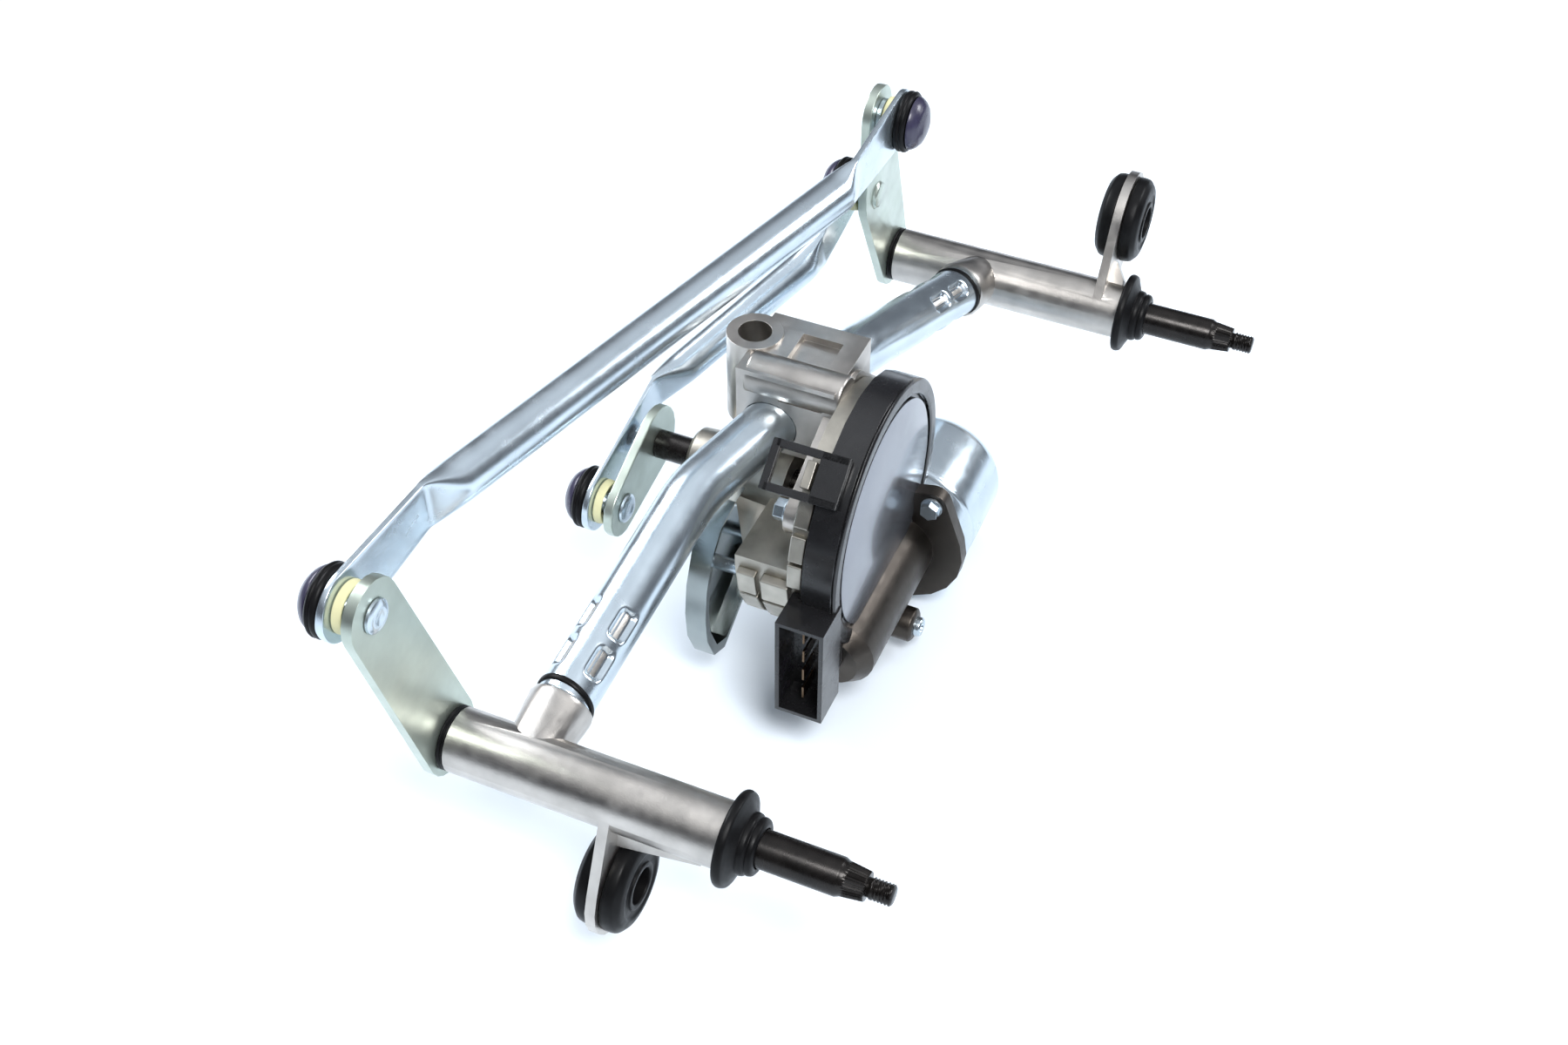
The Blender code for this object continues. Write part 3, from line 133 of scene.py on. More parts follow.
LEFT_BALL = polar(*CROSS_BALL)
RIGHT_BALL = (SPACING + LEFT_BALL[0], LEFT_BALL[1])
DRIVE_BALL = (SPACING + polar(DRIVE_RADIUS, DRIVE_ANGLE)[0], polar(DRIVE_RADIUS, DRIVE_ANGLE)[1])
DRIVE_FAR = (SPACING + polar(DRIVE_RADIUS, DRIVE_FAR_ANGLE)[0], polar(DRIVE_RADIUS, DRIVE_FAR_ANGLE)[1])
NEAR_REACH = math.dist(SHAFT, DRIVE_BALL)
CRANK = (math.dist(SHAFT, DRIVE_FAR) - NEAR_REACH) / 2
CRANK_BALL = tuple(SHAFT[i] - (DRIVE_BALL[i] - SHAFT[i]) / NEAR_REACH * CRANK for i in range(2))
BALL_JOINTS = {
    "left_ball": (LEFT_BALL, ARM_BACK, -1.0),
    "right_ball": (RIGHT_BALL, RIGHT_STEP + ARM_FRONT, 1.0),
    "drive_ball": (DRIVE_BALL, RIGHT_STEP + ARM_BACK, -1.0),
    "crank_ball": (CRANK_BALL, ARM_BACK, -1.0),
}


def station(a, b, u):
    """A point, in metres, from its millimetres right, up and forwards along the spindles."""
    return np.array([a, TIP_U - u, b]) * MM


class WiperSizes(bpy.types.PropertyGroup):
    """Sizes of the visible detail, in metres."""

    ring_steps: bpy.props.IntProperty(name="Ring steps", description="Points round a turned piece",
                                      default=64, min=16)
    tube_radius: bpy.props.FloatProperty(name="Tube radius", description="Outer radius of the frame tube",
                                         default=0.011, unit="LENGTH")
    crimp_depth: bpy.props.FloatProperty(name="Crimp depth",
                                         description="How far the tube is pressed in at each crimp",
                                         default=0.0021, unit="LENGTH")
    edge_round: bpy.props.FloatProperty(name="Edge rounding", description="Rounding of cast edges",
                                        default=0.0006, unit="LENGTH")
    thread_pitch: bpy.props.FloatProperty(name="Thread pitch", description="Pitch of the spindle thread",
                                          default=0.00125, unit="LENGTH")
    knurl_count: bpy.props.IntProperty(name="Knurls", description="Serrations round the spindle cone",
                                       default=36)


class WiperColours(bpy.types.PropertyGroup):
    """Colours of the finishes."""

    cast: bpy.props.FloatVectorProperty(name="Cast aluminium", description="Pivot housings and bracket",
                                        default=(0.49, 0.465, 0.435), subtype="COLOR", size=3)
    zinc: bpy.props.FloatVectorProperty(name="Zinc plate", description="Tube, links and can",
                                        default=(0.56, 0.64, 0.70), subtype="COLOR", size=3)
    passivated: bpy.props.FloatVectorProperty(name="Passivated zinc", description="Arms and crank",
                                              default=(0.47, 0.53, 0.47), subtype="COLOR", size=3)
    neck: bpy.props.FloatVectorProperty(name="Worm tunnel", description="Dark casting of the worm tunnel",
                                        default=(0.075, 0.066, 0.058), subtype="COLOR", size=3)
    cream: bpy.props.FloatVectorProperty(name="Cream plastic", description="Ball sockets",
                                         default=(0.74, 0.70, 0.42), subtype="COLOR", size=3)
    cap: bpy.props.FloatVectorProperty(name="Socket cap", description="Domed caps of the ball sockets",
                                       default=(0.035, 0.032, 0.065), subtype="COLOR", size=3)


def texture_space(tree):
    """The object coordinates, which are metres in the object's own frame."""
    return tree.nodes.new("ShaderNodeTexCoord").outputs["Object"]


def noise(tree, where, scale, detail=3.0, roughness=0.55):
    """A noise texture's factor at so many grains a metre."""
    made = tree.nodes.new("ShaderNodeTexNoise")
    made.inputs["Scale"].default_value = scale
    made.inputs["Detail"].default_value = detail
    made.inputs["Roughness"].default_value = roughness
    tree.links.new(where, made.inputs["Vector"])
    return made.outputs["Fac"]


def spread(tree, value, low, high, to_low, to_high):
    """Maps a value from one range to another, clamped."""
    made = tree.nodes.new("ShaderNodeMapRange")
    for socket, number in zip(("From Min", "From Max", "To Min", "To Max"), (low, high, to_low, to_high)):
        made.inputs[socket].default_value = number
    tree.links.new(value, made.inputs["Value"])
    return made.outputs["Result"]


def mixed(tree, factor, first, second):
    """A colour between two, each a colour or a socket."""
    made = tree.nodes.new("ShaderNodeMix")
    made.data_type = "RGBA"
    tree.links.new(factor, made.inputs["Factor"])
    for socket, colour in zip((made.inputs[6], made.inputs[7]), (first, second)):
        if isinstance(colour, bpy.types.NodeSocket):
            tree.links.new(colour, socket)
        else:
            socket.default_value = (*colour, 1.0)
    return made.outputs[2]


def surface(name, colour, metallic, rough, mottle=0.12, patch=90.0, grain=1400.0, bump=0.00003, coat=0.0,
            neck=None):
    """One finish: patchy colour and roughness, and a fine grain that stands up from the surface.

    Mottle is how far the colour wanders, patch and grain are spots a metre, and bump is the grain's height
    in metres. Neck is a second colour, for what lies forward of the gear case.
    """
    made = bpy.data.materials.new(name)
    made.use_nodes = True
    tree = made.node_tree
    shader = tree.nodes["Principled BSDF"]
    where = texture_space(tree)
    patches = spread(tree, noise(tree, where, patch), 0.3, 0.7, 0.0, 1.0)
    fine = noise(tree, where, grain, 2.0)
    darker = tuple(c * (1 - mottle) for c in colour)
    lighter = tuple(min(c * (1 + mottle), 1.0) for c in colour)
    base = mixed(tree, patches, darker, lighter)
    if neck is not None:
        split = tree.nodes.new("ShaderNodeSeparateXYZ")
        tree.links.new(where, split.inputs[0])
        forward = spread(tree, split.outputs[1], NECK_STARTS, NECK_FULL, 0.0, 1.0)
        base = mixed(tree, forward, base, neck)
    tree.links.new(base, shader.inputs["Base Color"])
    shader.inputs["Metallic"].default_value = metallic
    tree.links.new(spread(tree, noise(tree, where, patch * 2.3), 0.3, 0.7, rough * 0.82, rough * 1.18),
                   shader.inputs["Roughness"])
    raised = tree.nodes.new("ShaderNodeBump")
    raised.inputs["Distance"].default_value = bump
    raised.inputs["Strength"].default_value = 0.8
    tree.links.new(fine, raised.inputs["Height"])
    tree.links.new(raised.outputs["Normal"], shader.inputs["Normal"])
    shader.inputs["Specular IOR Level"].default_value = 0.5 if metallic or coat else 0.12
    shader.inputs["Coat Weight"].default_value = coat
    shader.inputs["Coat Roughness"].default_value = 0.08
    return made


FINISHES = {}


def prepare_finishes(colours):
    """Makes every finish once."""
    FINISHES.update({
        "cast_aluminium": surface("cast_aluminium", colours.cast, 1.0, 0.36, 0.14, 70.0, 1500.0, 0.00006),
        "gear_case": surface("gear_case", (0.40, 0.38, 0.335), 1.0, 0.40, 0.16, 80.0, 1500.0, 0.00006, 0.0,
                             colours.neck),
        "zinc_plated_steel": surface("zinc_plate", colours.zinc, 0.9, 0.24, 0.07, 60.0, 2200.0, 0.000012),
        "passivated_steel": surface("passivated_zinc", colours.passivated, 0.85, 0.34, 0.10, 55.0, 1800.0,
                                    0.00002),
        "blackened_steel": surface("blackened_steel", (0.014, 0.012, 0.011), 0.6, 0.28, 0.3, 160.0, 2200.0,
                                   0.00002),
        "black_rubber": surface("black_rubber", (0.006, 0.006, 0.0065), 0.0, 0.38, 0.25, 120.0, 2500.0,
                                0.00003),
        "black_plastic": surface("black_plastic", (0.010, 0.010, 0.011), 0.0, 0.26, 0.2, 60.0, 2600.0,
                                 0.000008, 0.1),
        "cover_disc": surface("cover_disc", (0.23, 0.24, 0.27), 0.75, 0.22, 0.08, 30.0, 2600.0, 0.000006,
                              0.3),
        "shield": surface("shield", (0.27, 0.30, 0.30), 1.0, 0.20, 0.14, 40.0, 2200.0, 0.00001),
        "socket_cap": surface("socket_cap", colours.cap, 0.0, 0.30, 0.2, 90.0, 2600.0, 0.00001, 0.2),
        "cream_plastic": surface("cream_plastic", colours.cream, 0.0, 0.45, 0.08, 90.0, 2000.0, 0.00001),
        "sintered_bronze": surface("sintered_bronze", (0.45, 0.30, 0.15), 1.0, 0.5, 0.12, 200.0, 3000.0,
                                   0.00003),
        "magnet_ferrite": surface("ferrite", (0.09, 0.09, 0.10), 0.2, 0.6, 0.1, 150.0, 2500.0, 0.00003),
        "copper": surface("copper", (0.12, 0.08, 0.05), 1.0, 0.3, 0.1, 150.0, 2500.0, 0.00001),
    })


def sew(mesh):
    """Closes seams and poles and turns faces outwards."""
    work = bmesh.new()
    work.from_mesh(mesh)
    bmesh.ops.remove_doubles(work, verts=work.verts, dist=WELD_DISTANCE)
    bmesh.ops.dissolve_degenerate(work, edges=work.edges, dist=1e-7)
    bmesh.ops.recalc_face_normals(work, faces=work.faces)
    work.to_mesh(mesh)
    work.free()


def smooth(item, finish, degrees):
    """Shades a piece smooth but for its sharp edges, and gives it its finish."""
    item.data.shade_smooth()
    item.data.set_sharp_from_angle(angle=math.radians(degrees))
    item.data.materials.clear()
    item.data.materials.append(FINISHES[finish])


def settle(item, nodes, finish, degrees=SHARP_DEGREES, weld=True):
    """Finishes a piece that stands for nodes, and ties it to their body."""
    if weld:
        sew(item.data)
    smooth(item, finish, degrees)
    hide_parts(*nodes)
    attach(item, NODE_BODY[nodes[0]])


def dress(item, finish):
    """Finishes a piece that is only in the looks, and ties it to the frame."""
    sew(item.data)
    smooth(item, finish, SHARP_DEGREES)
    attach(item, "frame")


def linked(name, data):
    """A new object in the scene."""
    item = bpy.data.objects.new(name, data)
    bpy.context.scene.collection.objects.link(item)
    return item


def piece_of(name, points, quads):
    """A new piece from arrays of points and of corners."""
    mesh = bpy.data.meshes.new(name)
    mesh.from_pydata(points.reshape(-1, 3).tolist(), [], quads.reshape(-1, 4).tolist())
    return linked(name, mesh)


def grid(name, points, close_rows=False):
    """A mesh of quads over an array of points: rows first, then the points round each row."""
    rows, columns = points.shape[:2]
    index = np.arange(rows * columns).reshape(rows, columns)
    lower = index if close_rows else index[:-1]
    upper = np.roll(index, -1, 0) if close_rows else index[1:]
    quads = np.stack([lower, np.roll(lower, -1, 1), np.roll(upper, -1, 1), upper], -1)
    return piece_of(name, points, quads)


def eased(profile, radius, closed=False):
    """Rounds a profile's corners: each becomes a short parabola between points set back from it."""
    points = np.array(profile, float)
    before = np.roll(points, 1, 0) - points
    after = np.roll(points, -1, 0) - points
    reach_before = np.linalg.norm(before, axis=1, keepdims=True)
    reach_after = np.linalg.norm(after, axis=1, keepdims=True)
    start = points + before / reach_before * np.minimum(radius, reach_before * 0.45)
    stop = points + after / reach_after * np.minimum(radius, reach_after * 0.45)
    t = np.linspace(0, 1, 5)[None, :, None]
    curve = (1 - t) ** 2 * start[:, None] + 2 * t * (1 - t) * points[:, None] + t**2 * stop[:, None]
    if closed:
        return curve.reshape(-1, 2)
    return np.vstack([points[:1], curve[1:-1].reshape(-1, 2), points[-1:]])


def turned(name, profile, origin, axis, steps=64, closed=False, relief=None):
    """A turned surface: each profile point (radius, height) in mm is carried round the axis.

    relief(radius, height, angle) gives the radius at each point where it isn't the same all round.
    """
    axis = np.array(axis, float)
    side = np.array([1.0, 0.0, 0.0]) if abs(axis[0]) < 0.9 else np.array([0.0, 0.0, 1.0])
    across = np.cross(axis, side)
    profile = np.array(profile, float)
    angle = np.linspace(0, 2 * math.pi, steps, endpoint=False)
    radius = np.repeat(profile[:, :1], steps, 1)
    height = np.repeat(profile[:, 1:], steps, 1)
    if relief is not None:
        radius = relief(radius, height, angle[None, :])
    out = side * np.cos(angle)[:, None] + across * np.sin(angle)[:, None]
    points = origin + (radius[..., None] * out[None] + height[..., None] * axis) * MM
    return grid(name, points, close_rows=closed)


def softened(node, finish, width, segments=2):
    """The node's own shape, merged and with its flat faces whole again, with its edges rounded."""
    item = linked(node + "_surface", frame["nodes"][node].data.copy())
    work = bmesh.new()
    work.from_mesh(item.data)
    bmesh.ops.remove_doubles(work, verts=work.verts, dist=1e-6)
    bmesh.ops.dissolve_limit(work, angle_limit=math.radians(0.8), verts=work.verts, edges=work.edges)
    work.to_mesh(item.data)
    work.free()
    settle(item, [node], finish, weld=False)
    bevel = item.modifiers.new("edges", "BEVEL")
    bevel.width = width
    bevel.segments = segments
    bevel.limit_method = "ANGLE"
    bevel.angle_limit = math.radians(BEVEL_DEGREES)
    bevel.harden_normals = True
    bevel.use_clamp_overlap = True


def path_of(corners, radius):
    """Straight runs joined by arcs of one radius, as points about 1 mm apart with their directions.

    Each arc is traced by turning the vector from its centre evenly from its start to its end.
    """
    points = [corners[0]]
    for before, corner, after in zip(corners, corners[1:], corners[2:]):
        back = (before - corner) / np.linalg.norm(before - corner)
        ahead = (after - corner) / np.linalg.norm(after - corner)
        turn = math.pi - math.acos(float(np.clip(back @ ahead, -1, 1)))
        middle = (back + ahead) / np.linalg.norm(back + ahead)
        centre = corner + middle * radius / math.cos(turn / 2)
        start = corner + back * radius * math.tan(turn / 2) - centre
        stop = corner + ahead * radius * math.tan(turn / 2) - centre
        share = np.linspace(0, 1, 25)[:, None]
        swing = np.sin((1 - share) * turn) * start + np.sin(share * turn) * stop
        points.extend(centre + swing / math.sin(turn))
    points.append(corners[-1])
    points = np.array(points)
    length = np.concatenate([[0], np.cumsum(np.linalg.norm(np.diff(points, axis=0), axis=1))])
    at = np.linspace(0, length[-1], int(length[-1] / 0.0009))
    places = np.stack([np.interp(at, length, points[:, i]) for i in range(3)], 1)
    heading = np.gradient(places, axis=0)
    return at, places, heading / np.linalg.norm(heading, axis=1, keepdims=True)


class WIPER_OT_castings(bpy.types.Operator):
    """Rounds the edges of the die-cast and moulded housings"""

    bl_idname = "wiper.castings"
    bl_label = "Castings and cover"

    def execute(self, context):
        width = context.scene.wiper_sizes.edge_round
        for node, finish, factor in (
            ("left_pivot_housing", "cast_aluminium", 1.6), ("right_pivot_housing", "cast_aluminium", 1.6),
            ("motor_bracket", "cast_aluminium", 1.8), ("gear_housing", "gear_case", 1.2),
            ("gear_cover", "black_plastic", 0.9),
        ):
            softened(node, finish, width * factor, 3)
        return {"FINISHED"}


class WIPER_OT_stampings(bpy.types.Operator):
    """Rounds the edges of the arms, the crank, the shield and the screws"""

    bl_idname = "wiper.stampings"
    bl_label = "Stampings and fasteners"

    def execute(self, context):
        width = context.scene.wiper_sizes.edge_round
        for node in ("left_arm", "right_arm", "crank_arm"):
            softened(node, "passivated_steel", width)
        softened("motor_plate", "shield", width * 0.5)
        for node in ("crank_nut", "bracket_screw_1", "bracket_screw_2", "plate_screw_1",
                     "plate_screw_2", "can_screw_1", "can_screw_2"):
            softened(node, "zinc_plated_steel", width * 0.5)
        for node in ("left_circlip", "right_circlip"):
            softened(node, "blackened_steel", width * 0.3)
        return {"FINISHED"}


class WIPER_OT_frame_tube(bpy.types.Operator):
    """Sweeps the bent frame tube with its pressed crimps"""

    bl_idname = "wiper.frame_tube"
    bl_label = "Frame tube"

    def execute(self, context):
        sizes = context.scene.wiper_sizes
        knees = [station(*knee) for knee in TUBE_KNEES.values()]
        spigots = [station(*spigot) for spigot in SPIGOTS.values()]
        ends = []
        for spigot, knee in zip(spigots, knees):
            ends.append(spigot + (knee - spigot) / np.linalg.norm(knee - spigot) * TUBE_MOUTH)
        at, places, heading = path_of([ends[0], *knees, ends[1]], TUBE_BEND)
        total = at[-1]
        upright = np.array([0.0, 0.0, 1.0]) - heading * heading[:, 2:]
        upright /= np.linalg.norm(upright, axis=1, keepdims=True)
        across = np.cross(heading, upright)
        angle = np.linspace(0, 2 * math.pi, 96, endpoint=False)
        outer = sizes.tube_radius
        depth = np.zeros((len(at), len(angle)))
        for mouth, sign in ((0.0, 1.0), (total, -1.0)):
            for row in CRIMP_ROWS:
                for turn in CRIMP_TURNS:
                    off = (angle - math.radians(turn) + math.pi) % (2 * math.pi) - math.pi
                    along = np.abs((at - mouth) * sign - row)[:, None]
                    round_it = (np.abs(off) * outer)[None, :]
                    past_length = np.maximum(along - CRIMP_HALF_LENGTH, 0) / CRIMP_SLOPES[0]
                    past_width = np.maximum(round_it - CRIMP_HALF_WIDTH, 0) / CRIMP_SLOPES[1]
                    inside = np.hypot(past_length, past_width)
                    depth = np.maximum(depth, sizes.crimp_depth * np.clip(1.6 - 1.6 * inside, 0, 1))
        radius = outer - depth
        out = upright[:, None] * np.cos(angle)[None, :, None]
        out = out + across[:, None] * np.sin(angle)[None, :, None]
        skin = places[:, None] + out * radius[..., None]
        rim_start = places[:1, None] + out[:1] * (outer - TUBE_RIM)
        rim_stop = places[-1:, None] + out[-1:] * (outer - TUBE_RIM)
        skin[0] = places[0] + out[0] * outer + heading[0] * TUBE_RIM
        skin[-1] = places[-1] + out[-1] * outer - heading[-1] * TUBE_RIM
        lining = (places[:, None] + out * (outer - TUBE_WALL))[::-1]
        item = grid("frame_tube_surface", np.concatenate([rim_start, skin, rim_stop, lining]),
                    close_rows=True)
        settle(item, ["frame_tube"], "zinc_plated_steel", degrees=50)
        return {"FINISHED"}


class WIPER_OT_spindles(bpy.types.Operator):
    """Turns both spindles with their serrated cones and threads"""

    bl_idname = "wiper.spindles"
    bl_label = "Spindles"

    def execute(self, context):
        sizes = context.scene.wiper_sizes
        pitch = sizes.thread_pitch / MM
        count = sizes.knurl_count

        def relief(radius, height, angle):
            """A screw thread as a triangle wave of height and angle, serrations as a cosine of angle."""
            wave = np.abs(((height / pitch - angle / (2 * math.pi)) % 1.0) * 2 - 1)
            thread = (height > THREAD_SPAN[0]) & (height < THREAD_SPAN[1]) & (radius > 3.5)
            cone = (height > CONE_SPAN[0]) & (height < CONE_SPAN[1]) & (radius > 5.0)
            serration = KNURL_DEPTH - KNURL_DEPTH * np.cos(count * angle)
            return radius - np.where(thread, THREAD_DEPTH * wave, 0.0) - np.where(cone, serration, 0.0)

        for side, (a, u) in PIVOTS.items():
            threads = [(4.0, h) for h in np.arange(165.0, 158.2, -0.15)]
            cone = [(5.3 + (156.5 - h) / 8.5, h) for h in np.arange(156.3, 148.2, -0.5)]
            profile = np.vstack([
                [(0, 166.0), (3.1, 166.0), (3.9, 165.3)], threads,
                [(3.4, 157.6), (3.4, 156.7), (5.2, 156.6)], cone,
                [(6.75, 147.2), (7.0, 146.6), (7.0, -2.7), (5.0, -2.7), (5.0, -7.3), (7.5, -7.3),
                 (7.3, -8.3), (6.2, -9.2), (3.0, -9.5), (0, -9.5)]])
            item = turned(side + "_spindle_surface", profile, station(a, 0, u), ALONG_U, 144, relief=relief)
            settle(item, [side + "_spindle"], "blackened_steel", degrees=50)
        return {"FINISHED"}


class WIPER_OT_rubber(bpy.types.Operator):
    """Turns the grommets and the spindle seals"""

    bl_idname = "wiper.rubber"
    bl_label = "Grommets and seals"

    def execute(self, context):
        steps = context.scene.wiper_sizes.ring_steps
        for side, (a, b, u) in GROMMETS.items():
            profile = [(7.0, 10.0), (9.2, 10.0), (9.2, 9.0), (12.0, 9.0), (13.0, 9.8), (16.0, 9.2),
                       (18.6, 7.0), (19.0, 5.0), (19.0, 2.3), (13.0, 2.3), (13.0, -2.3), (19.0, -2.3),
                       (19.0, -5.0), (18.6, -7.0), (16.0, -9.2), (13.0, -9.8), (12.0, -9.0), (9.2, -9.0),
                       (9.2, -10.0), (7.0, -10.0)]
            item = turned(side + "_grommet_surface", eased(profile, 0.8, True), station(a, b, u), ALONG_U,
                          steps, True)
            settle(item, [side + "_grommet"], "black_rubber")
        for side, (a, u) in PIVOTS.items():
            profile = [(7.3, 12.0), (8.9, 12.0), (10.2, 11.2), (10.6, 9.6), (10.1, 9.0), (11.1, 8.2),
                       (11.4, 6.6), (11.2, 6.0), (14.0, 4.6), (17.0, 3.4), (17.5, 2.0), (17.5, 1.0),
                       (17.0, 0.0), (15.6, 0.0), (15.2, 0.6), (12.4, 0.6), (12.0, 0.0), (10.6, 0.0),
                       (10.6, 1.8), (7.3, 1.8)]
            item = turned(side + "_front_seal_surface", eased(profile, 0.6, True),
                          station(a, 0, u + 106.3), ALONG_U, steps, True)
            settle(item, [side + "_front_seal"], "black_rubber")
            profile = [(7.3, 2.4), (12.1, 2.4), (12.25, 1.8), (11.5, 1.2), (12.25, 0.6), (12.1, 0.0),
                       (7.3, 0.0)]
            item = turned(side + "_rear_seal_surface", eased(profile, 0.2, True), station(a, 0, u - 2.7),
                          ALONG_U, steps, True)
            settle(item, [side + "_rear_seal"], "black_rubber")
        return {"FINISHED"}


class WIPER_OT_ball_joints(bpy.types.Operator):
    """Turns the studs, liners, seals and caps of the four ball joints"""

    bl_idname = "wiper.ball_joints"
    bl_label = "Ball joints"

    def execute(self, context):
        steps = context.scene.wiper_sizes.ring_steps
        for name, ((a, b), face, outward) in BALL_JOINTS.items():
            origin, axis = station(a, b, face), ALONG_U * outward
            sweep = np.radians(np.linspace(0, 142, 24))
            ball = np.stack([BALL_RADIUS * np.sin(sweep), BALL_STANDOFF + BALL_RADIUS * np.cos(sweep)], 1)
            foot = [(3.6, 3.2), (3.9, 2.7), (7.0, 2.4), (7.5, 2.0), (7.5, 0.3)]
            if name == "drive_ball":
                foot += [(0, 0.3)]
            else:
                foot += [(4.0, 0.3), (4.0, -4.3), (6.2, -4.3), (6.0, -5.2), (4.8, -6.0), (2.6, -6.3),
                         (2.0, -6.0), (0, -6.0)]
            item = turned(name + "_stud_surface", np.vstack([ball, foot]), origin, axis, steps)
            settle(item, [name + "_stud"], "zinc_plated_steel")
            hollow = np.radians(np.linspace(128, 0, 20))
            cavity = np.stack([CAVITY_RADIUS * np.sin(hollow),
                               BALL_STANDOFF + CAVITY_RADIUS * np.cos(hollow)], 1)
            shell = eased([(0, 18.7), (8.0, 18.7), (8.0, 6.2), (9.4, 6.2), (9.2, 4.6), (8.8, 2.9),
                           (8.0, 2.9), (5.6, 4.6)], 0.5)
            item = turned(name + "_liner_surface", np.vstack([shell, cavity]), origin, axis, steps)
            settle(item, [name + "_liner"], "cream_plastic")
            seal = [(8.3, 14.6), (12.0, 14.6), (13.0, 13.5), (12.9, 12.7), (12.4, 12.3), (13.0, 11.8),
                    (12.9, 10.7), (12.2, 9.8), (8.3, 9.8)]
            item = turned(name + "_seal_surface", eased(seal, 0.5, True), origin, axis, steps, True)
            settle(item, [name + "_seal"], "black_rubber")
            cap = [(0, 21.0), (2.0, 21.0), (4.6, 20.7), (8.0, 19.5), (10.3, 17.5), (11.4, 15.6),
                   (11.4, 14.9), (8.3, 14.9), (8.3, 19.0), (0, 19.0)]
            item = turned(name + "_cap_surface", eased(cap, 0.9), origin, axis, steps)
            settle(item, [name + "_cap"], "socket_cap")
        return {"FINISHED"}


def link_points(first, last, radius, flats):
    """A tube pressed flat at both ends, as rings of points in metres.

    Half width and half thickness follow smooth steps of the distance along the rod: a thin plate with
    a round end, a shoulder, then the tube. Each ring is a superellipse that turns from box to circle.
    """
    start, stop = np.array(first), np.array(last)
    run = stop - start
    span = math.hypot(run[0], run[1])
    ahead = np.array([run[0], run[1], 0.0]) / span
    across = np.array([-ahead[1], ahead[0], 0.0])
    thin = LINK_HALF_PLATE
    eye = LINK_EYE
    swell = LINK_SWELL
    tip = -eye * np.cos(np.linspace(0.03, math.pi / 2, 16))
    inner = np.linspace(2.0, flats[0] - 2, 12)
    shoulder = np.linspace(flats[0], flats[0] + swell, 14)
    tail = np.linspace(flats[1] + swell, flats[1], 14)
    rest = np.linspace(flats[1] - 2, 2.0, 12)
    s = np.concatenate([tip, inner, shoulder,
                        np.linspace(flats[0] + swell + 3, span - flats[1] - swell - 3, 20),
                        span - tail, span - rest, span - tip[::-1]])
    near = np.minimum(s, span - s)
    flat = np.where(s < span / 2, flats[0], flats[1])
    step = np.clip((near - flat) / swell, 0, 1)
    step = step * step * (3 - 2 * step)
    wide_flat = eye + (radius + 1.6 - eye) * np.clip(near / flat, 0, 1)
    wide = np.where(near <= 0, np.sqrt(np.maximum(eye**2 - near**2, 0)),
                    wide_flat + (radius - wide_flat) * step)
    thick = thin + (radius - thin) * step
    slope = np.clip((s - flats[0] - 2) / (span - flats[0] - flats[1] - 4), 0, 1)
    power = (0.30 + 0.70 * step)[:, None]
    t = (np.arange(48) + 0.5)[None] * 2 * math.pi / 48
    x = wide[:, None] * np.sign(np.cos(t)) * np.abs(np.cos(t)) ** power
    y = thick[:, None] * np.sign(np.sin(t)) * np.abs(np.sin(t)) ** power
    centre = start + ahead * s[:, None] + np.stack([0 * s, 0 * s, run[2] * slope], 1)
    points = centre[:, None] + across * x[..., None] + np.array([0, 0, 1.0]) * y[..., None]
    ends = np.concatenate([np.repeat(centre[:1, None], 48, 1), points, np.repeat(centre[-1:, None], 48, 1)])
    return np.stack([ends[..., 0], TIP_U - ends[..., 2], ends[..., 1]], -1) * MM


class WIPER_OT_links(bpy.types.Operator):
    """Lofts the two link rods"""

    bl_idname = "wiper.links"
    bl_label = "Link rods"

    def execute(self, context):
        eye = {}
        for name, (centre, face, outward) in BALL_JOINTS.items():
            eye[name] = (centre[0], centre[1], face + outward * LINK_STANDOFF)
        for name, first, last, radius, flats in (
            ("cross_link", "left_ball", "right_ball", 8.4, (48.0, 48.0)),
            ("drive_link", "crank_ball", "drive_ball", 7.6, (54.0, 34.0)),
        ):
            item = grid(name + "_surface", link_points(eye[first], eye[last], radius, flats))
            settle(item, [name], "zinc_plated_steel", degrees=45)
        return {"FINISHED"}


class WIPER_OT_motor(bpy.types.Operator):
    """Turns the drawn motor can and the output shaft"""

    bl_idname = "wiper.motor"
    bl_label = "Motor can and output shaft"

    def execute(self, context):
        can = [(0, 59.0), (8.0, 59.0), (9.5, 57.5), (9.5, 52.3), (22.0, 51.5), (26.5, 49.5), (29.0, 45.0),
               (29.0, 12.0), (28.7, 11.4), (28.7, 9.6), (29.0, 9.0), (29.0, 0), (27.4, 0), (27.4, 44.5),
               (25.0, 48.2), (21.5, 50.0), (8.0, 50.5), (8.0, 57.0), (0, 57.0)]
        item = turned("motor_can_surface", eased(can, 1.6), station(206.3, WORM_B, WORM_U), (1.0, 0, 0), 96)
        settle(item, ["motor_can"], "zinc_plated_steel")
        shaft = [(0, 93.5), (7.0, 93.5), (7.0, 87.0), (6.0, 87.0), (6.0, -2.7), (4.4, -2.7), (4.4, -11.2),
                 (3.6, -12.0), (0, -12.0)]
        item = turned("output_shaft_surface", eased(shaft, 0.3), station(*SHAFT, 0), ALONG_U, 48)
        settle(item, ["output_shaft"], "blackened_steel")
        return {"FINISHED"}


